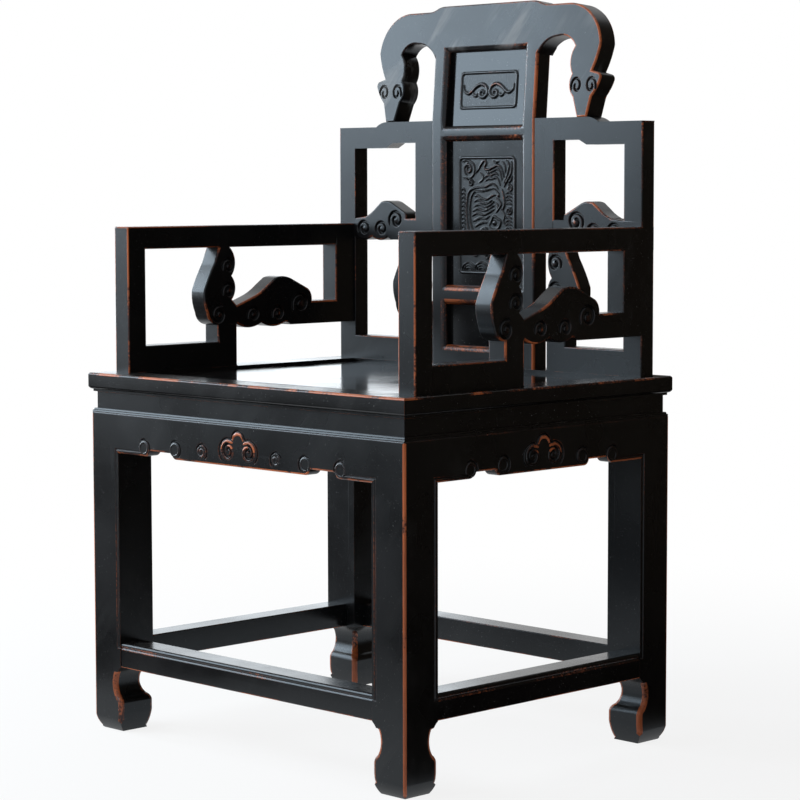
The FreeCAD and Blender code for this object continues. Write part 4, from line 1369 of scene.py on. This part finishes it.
class ARMCHAIR_OT_clouds(bpy.types.Operator):
    """Round the cloud-shaped members of the arms and the back and cut their scrolls"""

    bl_idname = "armchair.clouds"
    bl_label = "Cloud pieces"

    def execute(self, context):
        edge = context.scene.chair_sizes.cloud_round
        arm_finish = lacquer("arm_cloud_lacquer", "y", wear=0.4, patch=18.0)
        back_finish = lacquer("back_cloud_lacquer", "x", wear=0.3, patch=18.0)
        for hand, side in HANDS.items():
            for member, scrolls in (("post", ARM_POST_SCROLLS), ("rail", ARM_RAIL_SCROLLS)):
                node = f"arm_cloud_{member}_{hand}"
                low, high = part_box(node)
                inner, outer = sorted((low.x / MM, high.x / MM), key=abs)
                faces = (side_face(outer), inner_face(inner))
                dress(node, edge, arm_finish, raised=scroll_bosses(faces, scrolls),
                      cutters=scroll_cutters(faces, scrolls), clamped=False)
            for member, scrolls in (("post", BACK_POST_SCROLLS), ("rail", BACK_RAIL_SCROLLS)):
                node = f"back_cloud_{member}_{hand}"
                low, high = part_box(node)
                faces = (front_face(low.y / MM), rear_face(high.y / MM))
                dress(node, edge, back_finish, raised=scroll_bosses(faces, scrolls, side),
                      cutters=scroll_cutters(faces, scrolls, side), clamped=False)
        return {"FINISHED"}


def crest_wear(x, y, z):
    """The right-hand edges of the crest are worn most."""
    return 1.1 if x > CREST_WORN else 0.6


class ARMCHAIR_OT_crest(bpy.types.Operator):
    """Round the crest rail and cut the scrolls of its ears"""

    bl_idname = "armchair.crest"
    bl_label = "Crest rail"

    def execute(self, context):
        flat = head_face(0)
        points = [vert.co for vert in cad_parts["crest_rail"].data.vertices]
        depths = [(point - flat.origin).dot(-flat.outward) / MM for point in points]
        faces = (head_face(min(depths)), head_face(max(depths), forward=False))
        cutters = []
        for side in SIDES:
            cutters += scroll_cutters(faces, CREST_SCROLLS, side, CREST_STRETCH)
        # The crest's strong pale smears are partly dust and partly a painted sheen of light streaks
        finish = lacquer("crest_lacquer", "x", wear=0.55, patch=8.0, sheen_smears=0.5)
        dress("crest_rail", context.scene.chair_sizes.cloud_round, finish, cutters=cutters, clamped=False,
              wear_at=crest_wear)
        return {"FINISHED"}


# The panels of the splat, with the carving's half sizes and middle heights in millimetres
# A stroke is its points across and up from the middle of the carving, half its width, its share of the full
# height and whether it grows slimmer towards its ends

CARVING_HALF_WIDTH = 56.2
TOP_CARVING = (43.3, 27.4)
MIDDLE_CARVING = (719, 84.8)
RING_HALF_WIDTH = 54
RING_CORNER = 6
RING_BREADTH = 2.4
RING_SHARE = 0.9
CARVING_CREASE = 50
STROKE_END = 0.45
STROKE_GROWTH = 3.0
STROKE_CROWN = 0.8
STROKE_SLIM_HEIGHT = 0.6
CROWN_WORN = 0.6
CROWN_WEAR = 1.3
BOSS_WEAR = 0.7
GROUND_EDGE = 8
RELIEF_GROUND = 0.25
BOSS_ROOT = 0.3
SLAB_DEPTH = 2


def ring_stroke(half_height):
    """The rounded frame of a carving as a closed stroke."""
    points = []
    for u, v, start in ((1, 1, 0), (-1, 1, 90), (-1, -1, 180), (1, -1, 270)):
        for i in range(7):
            angle = math.radians(start + 15 * i)
            points.append((u * (RING_HALF_WIDTH - RING_CORNER) + RING_CORNER * math.cos(angle),
                           v * (half_height - RING_CORNER) + RING_CORNER * math.sin(angle)))
    return points + points[:1], RING_BREADTH, RING_SHARE, False


def curve_stroke(breadth, share, *points):
    return smooth_path(points), breadth, share, True


def boss_stroke(u, v, breadth):
    """A round knob."""
    return [(u - 0.2, v), (u + 0.2, v)], breadth, 1.0, False


def scroll_stroke(u, v, radius, mouth, turns, breadth, share):
    return scroll_path(u, v, radius, mouth, turns), breadth, share, True


def both_ways(strokes):
    """Strokes and their mirror images."""
    images = [(mirrored(path, -1), breadth, share, taper) for path, breadth, share, taper in strokes]
    return [*strokes, *images]


def top_panel_strokes():
    """A double scroll with trailing ends in a rounded frame."""
    scroll = curve_stroke(2.7, 1.0, (49, 7.5), (48, 0.7), (40.5, -4), (33, -1.4), (27, 3.8), (20.5, 7.4),
                          (13.8, 8.7), (6.3, 5.9), (2.4, -0.6), (4, -6.7), (9.7, -10.2), (16, -8.2),
                          (17, -3.4), (13, -0.6), (9, -2.8), (10.5, -5))
    hook = curve_stroke(2.3, 0.9, (31, -3.4), (27.5, -7.2), (23.5, -7.6), (22.6, -4.8))
    return [ring_stroke(25.2), *both_ways([scroll, hook])]


def middle_panel_strokes():
    """A coiling scaled body with a streaming mane among flames, clouds and waves in a rounded frame."""
    body = [
        curve_stroke(1.9, 1.0, (21.5, 38), (17.5, 43), (11, 45), (3, 43.4), (-4, 40.5), (-13, 40.5),
                     (-25, 39), (-34.4, 34.7), (-39, 25), (-40.4, 9), (-39, -8), (-36, -22), (-27, -36),
                     (-12, -45), (5, -48), (21, -43), (33, -31), (38, -20)),
        curve_stroke(1.6, 0.9, (24, 31), (14.3, 38), (1.3, 36), (-11.7, 34.5), (-24.4, 34), (-31.5, 25),
                     (-34, 9), (-33, -7), (-29, -19), (-20, -31), (-7, -38), (7, -40), (20, -34),
                     (28, -23)),
    ]
    scales = [curve_stroke(1.4, 0.7, (-50, v), (-46.5, v + 3), (-43.5, v - 1.5)) for v in range(-36, 42, 6)]
    flames = [
        curve_stroke(1.9, 1.0, (-23, 60), (-16.6, 65.6), (-11, 74), (-4.4, 79), (-2, 74.5), (-5, 68.6),
                     (-2, 65.6), (4.5, 66), (11, 68.6), (20.8, 71.5), (26.5, 68.6), (30.5, 62.7), (33, 55)),
        curve_stroke(1.7, 0.9, (-2, 61), (5, 61.5), (12, 64), (20, 66.4), (24.6, 63.6), (27, 58), (29, 51)),
        curve_stroke(1.8, 0.95, (-5, 54), (0.5, 57), (8.6, 57.6), (17, 60.4), (22, 57)),
        curve_stroke(1.7, 0.9, (-3, 49.5), (4, 52.6), (11, 52.6), (18, 54.6), (23, 49.5), (25.5, 43)),
        curve_stroke(1.5, 0.85, (-16, 47), (-9, 51), (-8, 57), (-14, 61)),
        curve_stroke(1.8, 0.95, (38, 78.5), (43, 72), (41, 62.7), (37, 52), (33, 46)),
        curve_stroke(1.8, 0.95, (47, 77), (48.5, 69), (45.5, 58), (39.5, 50), (33.5, 41)),
        curve_stroke(1.5, 0.85, (30, 77), (35, 71), (36, 62)),
        curve_stroke(1.5, 0.85, (12, 78), (17, 75.5), (23, 77)),
        curve_stroke(1.6, 0.9, (49, 56), (46.5, 50), (41, 46.5)),
    ]
    mane = [
        curve_stroke(1.7, 0.95, (-24, 26.5), (-18, 28.5), (-10, 24.6), (-1, 23), (9, 27.5), (17, 29)),
        curve_stroke(1.7, 0.95, (-25, 19.6), (-16, 22.4), (-8.4, 18.4), (1.3, 17.4), (9.4, 21.6)),
        curve_stroke(1.7, 0.95, (-26, 12.6), (-14, 15.8), (-3, 12.4), (6, 15.4), (14, 20)),
        curve_stroke(1.7, 0.95, (-27.5, 6), (-16.6, 9.6), (-6.8, 6.6), (3, 9.6), (14, 14)),
        curve_stroke(1.7, 0.95, (-29, -1), (-18, 3.6), (-7, 0.6), (4, 4.4), (14, 8.4)),
        curve_stroke(1.6, 0.9, (-27.5, -9), (-14, -4), (-3, -4.6), (5, -0.6)),
        curve_stroke(1.6, 0.9, (-24, -16.5), (-12, -11.4), (0, -10)),
        curve_stroke(1.6, 0.9, (-17, -24.5), (-7, -18.4), (2, -19)),
    ]
    head = [
        curve_stroke(1.9, 1.0, (29, 38), (33, 28), (34, 16), (30, 6)),
        curve_stroke(1.7, 0.95, (18, 25), (24, 22), (27.4, 15.6), (22, 8.6), (18, 4)),
        curve_stroke(1.6, 0.95, (18, 18), (22, 14), (20, 9)),
        boss_stroke(22.5, 28, 2.4),
        curve_stroke(1.4, 0.85, (28, 9), (35, 1), (33, -8), (38, -14)),
    ]
    claws = [
        curve_stroke(1.9, 1.0, (4, -15), (9, -7), (13, -1), (20, -4), (27, -8.5), (21.6, -18.5), (11, -20),
                     (4, -15)),
        boss_stroke(15, -10.5, 4.2),
        curve_stroke(1.6, 0.9, (0, -25), (9, -28), (19, -26), (26, -20)),
        curve_stroke(1.5, 0.85, (38, -24), (44, -31), (44, -40)),
    ]
    clouds = [
        scroll_stroke(-37, 66.5, 8.6, 250, -1.5, 1.9, 1.0),
        curve_stroke(1.7, 0.9, (-49, 77), (-38, 78.4), (-28, 74.6), (-24.6, 66), (-28, 57), (-37, 52.6),
                     (-47, 54.5)),
        scroll_stroke(-31, 46.6, 5, 20, 1.4, 1.7, 0.95),
        scroll_stroke(44.5, 39, 5.4, 120, -1.4, 1.6, 0.95),
        scroll_stroke(43, 7, 6.2, 60, -1.4, 1.7, 0.95),
        scroll_stroke(-43.5, -43, 6.4, 60, 1.4, 1.7, 0.95),
        scroll_stroke(42, -52, 7, 120, -1.4, 1.8, 0.95),
        scroll_stroke(23, -57, 6.5, 120, -1.4, 1.7, 0.95),
        scroll_stroke(1, -57.5, 6, 60, 1.4, 1.7, 0.95),
        scroll_stroke(-22, -54, 6.5, 60, 1.4, 1.7, 0.95),
    ]
    ripples = [curve_stroke(1.5, 0.85, (37, v), (42, v + 2), (48.5, v - 0.5))
               for v in (31, 26, 21, 16, -4, -9, -14, -19)]
    waves = []
    for middle, reach in ((-36, 13), (-10, 14), (17, 14), (41, 11)):
        for k in range(3):
            radius = reach * (1 - 0.32 * k)
            waves.append(curve_stroke(1.6, 0.9 - 0.1 * k, *[
                (max(-50, min(50, middle + radius * math.cos(math.radians(a)))),
                 -79 + radius * 0.85 * math.sin(math.radians(a))) for a in (178, 140, 90, 40, 2)]))
    return [ring_stroke(82.6), *body, *scales, *flames, *mane, *head, *claws, *clouds, *ripples, *waves]


def relief_heights(across, up, strokes):
    """The height of the carving, as a share of the full height, over a grid of points in millimetres."""
    heights = np.zeros(across.shape)
    for path, breadth, share, taper in strokes:
        line = np.array(path, float)
        low = line.min(0) - breadth
        high = line.max(0) + breadth
        near = (across > low[0]) & (across < high[0]) & (up > low[1]) & (up < high[1])
        points = np.stack((across[near], up[near]), -1)[:, None]
        start = line[:-1]
        step = line[1:] - line[:-1]
        along = ((points - start) * step).sum(-1) / np.maximum((step * step).sum(-1), 1e-9)
        along = np.clip(along, 0, 1)
        gaps = np.hypot(*np.moveaxis(start + step * along[..., None] - points, -1, 0))
        nearest = gaps.argmin(1)
        rows = np.arange(len(nearest))
        gap = gaps[rows, nearest]
        place_along = (nearest + along[rows, nearest]) / len(step)
        size = np.ones(len(gap))
        if taper:
            from_end = np.minimum(place_along, 1 - place_along)
            size = np.clip(STROKE_END + STROKE_GROWTH * from_end, STROKE_END, 1)
        crown = np.clip(1 - (gap / (breadth * size)) ** 2, 0, 1) ** STROKE_CROWN
        round_top = crown * share * (STROKE_SLIM_HEIGHT + (1 - STROKE_SLIM_HEIGHT) * size)
        heights[near] = np.maximum(heights[near], round_top)
    return heights


def relief_form(face, centre, half_width, half_height, strokes, raised=False, middle=0.0):
    """A closed slab whose front is the carving of a panel, or out of which only a raised boss stands."""
    sizes = bpy.context.scene.chair_sizes
    step = sizes.relief_step / MM
    columns = round(2 * half_width / step) + 1
    rows = round(2 * half_height / step) + 1
    across, up = np.meshgrid(np.linspace(middle - half_width, middle + half_width, columns),
                             np.linspace(-half_height, half_height, rows))
    heights = relief_heights(across, up, strokes)
    full = sizes.boss_height + BOSS_ROOT * MM if raised else sizes.relief_height
    ground = -BOSS_ROOT * MM if raised else RELIEF_GROUND * MM
    bm = new_cutter()
    worn = bm.loops.layers.float["worn"]
    sunk = bm.loops.layers.float["sunk"]
    grid = [[bm.verts.new(face.at(across[r, c], centre + up[r, c], ground + heights[r, c] * full))
             for c in range(columns)] for r in range(rows)]
    level = {grid[r][c]: heights[r, c] for r in range(rows) for c in range(columns)}
    for r in range(rows - 1):
        for c in range(columns - 1):
            quad = bm.faces.new((grid[r][c], grid[r][c + 1], grid[r + 1][c + 1], grid[r + 1][c]))
            for loop in quad.loops:
                height = level[loop.vert]
                loop[worn] = height * BOSS_WEAR if raised else max(0.0, height - CROWN_WORN) * CROWN_WEAR
                loop[sunk] = 0.0 if raised else 1.0 - min(1.0, height * GROUND_EDGE)
    rim = [grid[0][c] for c in range(columns)] + [grid[r][-1] for r in range(1, rows)]
    rim += [grid[-1][c] for c in range(columns - 2, -1, -1)] + [grid[r][0] for r in range(rows - 2, 0, -1)]
    foot = [bm.verts.new(vert.co - face.outward * SLAB_DEPTH * MM) for vert in rim]
    for i, vert in enumerate(rim):
        j = (i + 1) % len(rim)
        bm.faces.new((vert, foot[i], foot[j], rim[j]))
    bm.faces.new(foot)
    return bm


class ARMCHAIR_OT_panels(bpy.types.Operator):
    """Carve and lacquer the three panels of the splat"""

    bl_idname = "armchair.panels"
    bl_label = "Splat panels"

    def execute(self, context):
        edge = context.scene.chair_sizes.seat_round
        finish = lacquer("carved_panel_lacquer", "z", wear=0.55, gloss=0.13, patch=24.0, specks=0.8,
                         stipple=0.25)
        carvings = {
            "top": (head_face(PANEL_FRONT - HEAD_FRONT), TOP_CARVING, top_panel_strokes()),
            "middle": (front_face(PANEL_FRONT), MIDDLE_CARVING, middle_panel_strokes()),
        }
        for name in ("top", "middle", "bottom"):
            raised = []
            if name in carvings:
                face, (centre, half_height), strokes = carvings[name]
                raised.append(relief_form(face, centre, CARVING_HALF_WIDTH, half_height, strokes))
            dress(f"splat_panel_{name}", edge * PANEL_ROUND, finish, slot="carved_lacquer", raised=raised,
                  crease=CARVING_CREASE)
        return {"FINISHED"}


# The stage, in metres

FLOOR_REACH = 8.0
FLOOR_FADE = (0.5, 1.8)
FLOOR_WHITE = (0.85, 1.0)
SENSOR_WIDTH = 36
CARD_FOOT = 0.002
CARD_TOP = 2.2
# Colours of the painted reflections: dark sheets that only the lacquer's reflections show, set to make the
# mirrored faces darker and warmer
PAINTED_REFLECTION_COLOURS = {
    "studio_brown_card": (0.11, 0.075, 0.05),
    "studio_dark_cloth": (0.040, 0.028, 0.02),
    "studio_grey_cloth": (0.055, 0.05, 0.05),
}


def standing(start, end):
    """The corners of an upright sheet for a painted reflection, which stands on the floor."""
    return [(*start, CARD_FOOT), (*end, CARD_FOOT), (*end, CARD_TOP), (*start, CARD_TOP)]


def lying(*corners):
    """The corners of a sheet for a painted reflection, which lies on the floor."""
    return [(*corner, CARD_FOOT) for corner in corners]


# Painted reflections: dark sheets that only reflections show, each with its finish
PAINTED_REFLECTIONS = {
    "studio_brown_card": ("studio_brown_card", standing((2.3, -0.6), (-0.4, 2.9))),
    "studio_dark_screen": ("studio_dark_cloth", standing((-0.4, 2.9), (-1.9, 2.8))),
    "studio_dark_cloth": (
        "studio_dark_cloth", lying((0.36, -0.2), (2.3, -0.6), (-0.4, 2.9), (0.36, 0.3))),
    "studio_grey_cloth": (
        "studio_grey_cloth", lying((0.28, -1.1), (-1.0, -0.1), (-5.2, -3.4), (-3.4, -5.4))),
}

# The lamps, each with the name of its power, its width and height, its place and the height of its aim
LAMPS = {
    "window": ("window_power", 1.9, 1.5, (-2.65, -2.0, 1.66), 0.85),
    "low_window": ("low_power", 1.9, 0.42, (-2.65, -2.0, 0.69), 0.69),
    "upper_window": ("upper_power", 1.9, 0.28, (-1.7, -2.0, 2.5), 0.7),
    "front_window": ("front_power", 0.35, 1.9, (-0.7, -3.1, 1.7), 0.7),
    "side_window": ("side_power", 0.6, 1.7, (-3.3, -0.5, 1.3), 0.8),
    "back_light": ("back_power", 2.1, 1.3, (-3.0, 1.85, 0.8), 0.6),
}


def lamp(name, power, colour, width, height, place_at, aim_height):
    """A soft lamp that is aimed at a height over the middle of the floor."""
    data = bpy.data.lights.new(name, "AREA")
    data.energy = power
    data.color = colour
    data.shape = "RECTANGLE"
    data.size = width
    data.size_y = height
    light = bpy.data.objects.new(name, data)
    light.location = place_at
    aim = Vector((0, 0, aim_height)) - Vector(place_at)
    light.rotation_euler = aim.to_track_quat("-Z", "Y").to_euler()
    light.visible_camera = False
    bpy.context.scene.collection.objects.link(light)


def seen_directly(tree):
    """One where the camera, a reflection or a pane of glass looks, and nought for soft light."""
    rays = place(tree, "ShaderNodeLightPath")
    seen = calculated(tree, "MAXIMUM", rays.outputs["Is Camera Ray"], rays.outputs["Is Glossy Ray"])
    return calculated(tree, "MAXIMUM", seen, rays.outputs["Is Transmission Ray"])


def set_world(ambient):
    world = bpy.data.worlds.new("Studio")
    bpy.context.scene.world = world
    world.use_nodes = True
    tree = world.node_tree
    tree.nodes.clear()
    strength = ramp(tree, seen_directly(tree), 0.0, 1.0, ambient, 1.0)
    background = place(tree, "ShaderNodeBackground", {"Color": (1, 1, 1, 1), "Strength": strength})
    place(tree, "ShaderNodeOutputWorld", {"Surface": background.outputs[0]})


def flat_sheet(name, corners, material):
    mesh = bpy.data.meshes.new(name)
    mesh.from_pydata(corners, [], [range(len(corners))])
    mesh.materials.append(material)
    sheet = bpy.data.objects.new(name, mesh)
    bpy.context.scene.collection.objects.link(sheet)
    return sheet


def floor_material(colour):
    material, tree = new_material("studio_floor")
    matt = place(tree, "ShaderNodeBsdfDiffuse", {"Color": socket_colour(colour)})
    white = place(tree, "ShaderNodeEmission", {"Color": (1, 1, 1, 1), "Strength": 1.0})
    away = place(tree, "ShaderNodeVectorMath", {0: on_object(tree)}, operation="LENGTH").outputs["Value"]
    share = calculated(tree, "MULTIPLY", seen_directly(tree), ramp(tree, away, *FLOOR_FADE, *FLOOR_WHITE))
    mixed = place(tree, "ShaderNodeMixShader", {0: share, 1: matt.outputs[0], 2: white.outputs[0]})
    place(tree, "ShaderNodeOutputMaterial", {"Surface": mixed.outputs[0]})
    return material


# A matt finish for a sheet that only reflections show, a painted reflection
def painted_reflection_material(name, colour):
    material, tree = new_material(name)
    matt = place(tree, "ShaderNodeBsdfDiffuse", {"Color": socket_colour(colour)})
    place(tree, "ShaderNodeOutputMaterial", {"Surface": matt.outputs[0]})
    return material


def set_camera(stage):
    azimuth, elevation = stage.azimuth, stage.elevation
    right = Vector((math.cos(azimuth), math.sin(azimuth), 0))
    back = Vector((math.sin(azimuth) * math.cos(elevation), -math.cos(azimuth) * math.cos(elevation),
                   math.sin(elevation)))
    up = back.cross(right)
    turn_right = right * math.cos(stage.roll) + up * math.sin(stage.roll)
    turn_up = up * math.cos(stage.roll) - right * math.sin(stage.roll)
    target = right * stage.target_shift + Vector((0, 0, stage.target_height))
    data = bpy.data.cameras.new("Camera")
    data.sensor_width = SENSOR_WIDTH
    data.lens = stage.lens
    camera = bpy.data.objects.new("Camera", data)
    axes = Matrix((turn_right, turn_up, back)).transposed()
    camera.matrix_world = Matrix.Translation(target + back * stage.distance) @ axes.to_4x4()
    bpy.context.scene.collection.objects.link(camera)
    bpy.context.scene.camera = camera


class ARMCHAIR_OT_stage(bpy.types.Operator):
    """Set the floor, the lamps, the dark sheets that only the lacquer's reflections show as painted
    reflections, and the camera
    """

    bl_idname = "armchair.stage"
    bl_label = "Stage"

    def execute(self, context):
        stage = context.scene.chair_stage
        context.scene.view_settings.view_transform = "Standard"
        floor = [(u * FLOOR_REACH, v * FLOOR_REACH, 0) for u, v in ((-1, -1), (1, -1), (1, 1), (-1, 1))]
        flat_sheet("studio_floor", floor, floor_material(stage.floor))
        covers = {name: painted_reflection_material(name, colour) for name, colour in PAINTED_REFLECTION_COLOURS.items()}
        for name, (cover, corners) in PAINTED_REFLECTIONS.items():
            card = flat_sheet(name, corners, covers[cover])
            # Painted reflections: hidden from the camera, from soft light and from shadows
            card.visible_camera = False
            card.visible_diffuse = False
            card.visible_shadow = False
        for name, (power, width, height, place_at, aim_height) in LAMPS.items():
            lamp(name, getattr(stage, power), stage.window_colour, width, height, place_at, aim_height)
        set_world(stage.ambient)
        set_camera(stage)
        return {"FINISHED"}


class ARMCHAIR_PT_sidebar(bpy.types.Panel):
    """The steps of the armchair and the values they use"""

    bl_idname = "ARMCHAIR_PT_sidebar"
    bl_label = "Black lacquer armchair"
    bl_space_type = "VIEW_3D"
    bl_region_type = "UI"
    bl_category = "Armchair"

    def draw(self, context):
        for operator in STEPS:
            self.layout.operator(operator.bl_idname)
        for group in (context.scene.chair_sizes, context.scene.chair_colours, context.scene.chair_stage):
            box = self.layout.box()
            for key in group.__annotations__:
                box.prop(group, key)


STEPS = (ARMCHAIR_OT_stage, ARMCHAIR_OT_legs, ARMCHAIR_OT_aprons, ARMCHAIR_OT_stretchers, ARMCHAIR_OT_seat,
         ARMCHAIR_OT_arm_frames, ARMCHAIR_OT_back_frames, ARMCHAIR_OT_clouds, ARMCHAIR_OT_crest,
         ARMCHAIR_OT_panels)
GROUPS = {"chair_sizes": ChairSizes, "chair_colours": ChairColours, "chair_stage": ChairStage}


def register():
    for group in GROUPS.values():
        bpy.utils.register_class(group)
    for name, group in GROUPS.items():
        setattr(bpy.types.Scene, name, bpy.props.PointerProperty(type=group))
    for step in STEPS:
        bpy.utils.register_class(step)
    bpy.utils.register_class(ARMCHAIR_PT_sidebar)


def unregister():
    bpy.utils.unregister_class(ARMCHAIR_PT_sidebar)
    for step in reversed(STEPS):
        bpy.utils.unregister_class(step)
    for name, group in GROUPS.items():
        delattr(bpy.types.Scene, name)
        bpy.utils.unregister_class(group)


def main():
    register()
    bpy.ops.armchair.stage()
    bpy.ops.armchair.legs()
    bpy.ops.armchair.aprons()
    bpy.ops.armchair.stretchers()
    bpy.ops.armchair.seat()
    bpy.ops.armchair.arm_frames()
    bpy.ops.armchair.back_frames()
    bpy.ops.armchair.clouds()
    bpy.ops.armchair.crest()
    bpy.ops.armchair.panels()


if __name__ == "__main__":
    main()
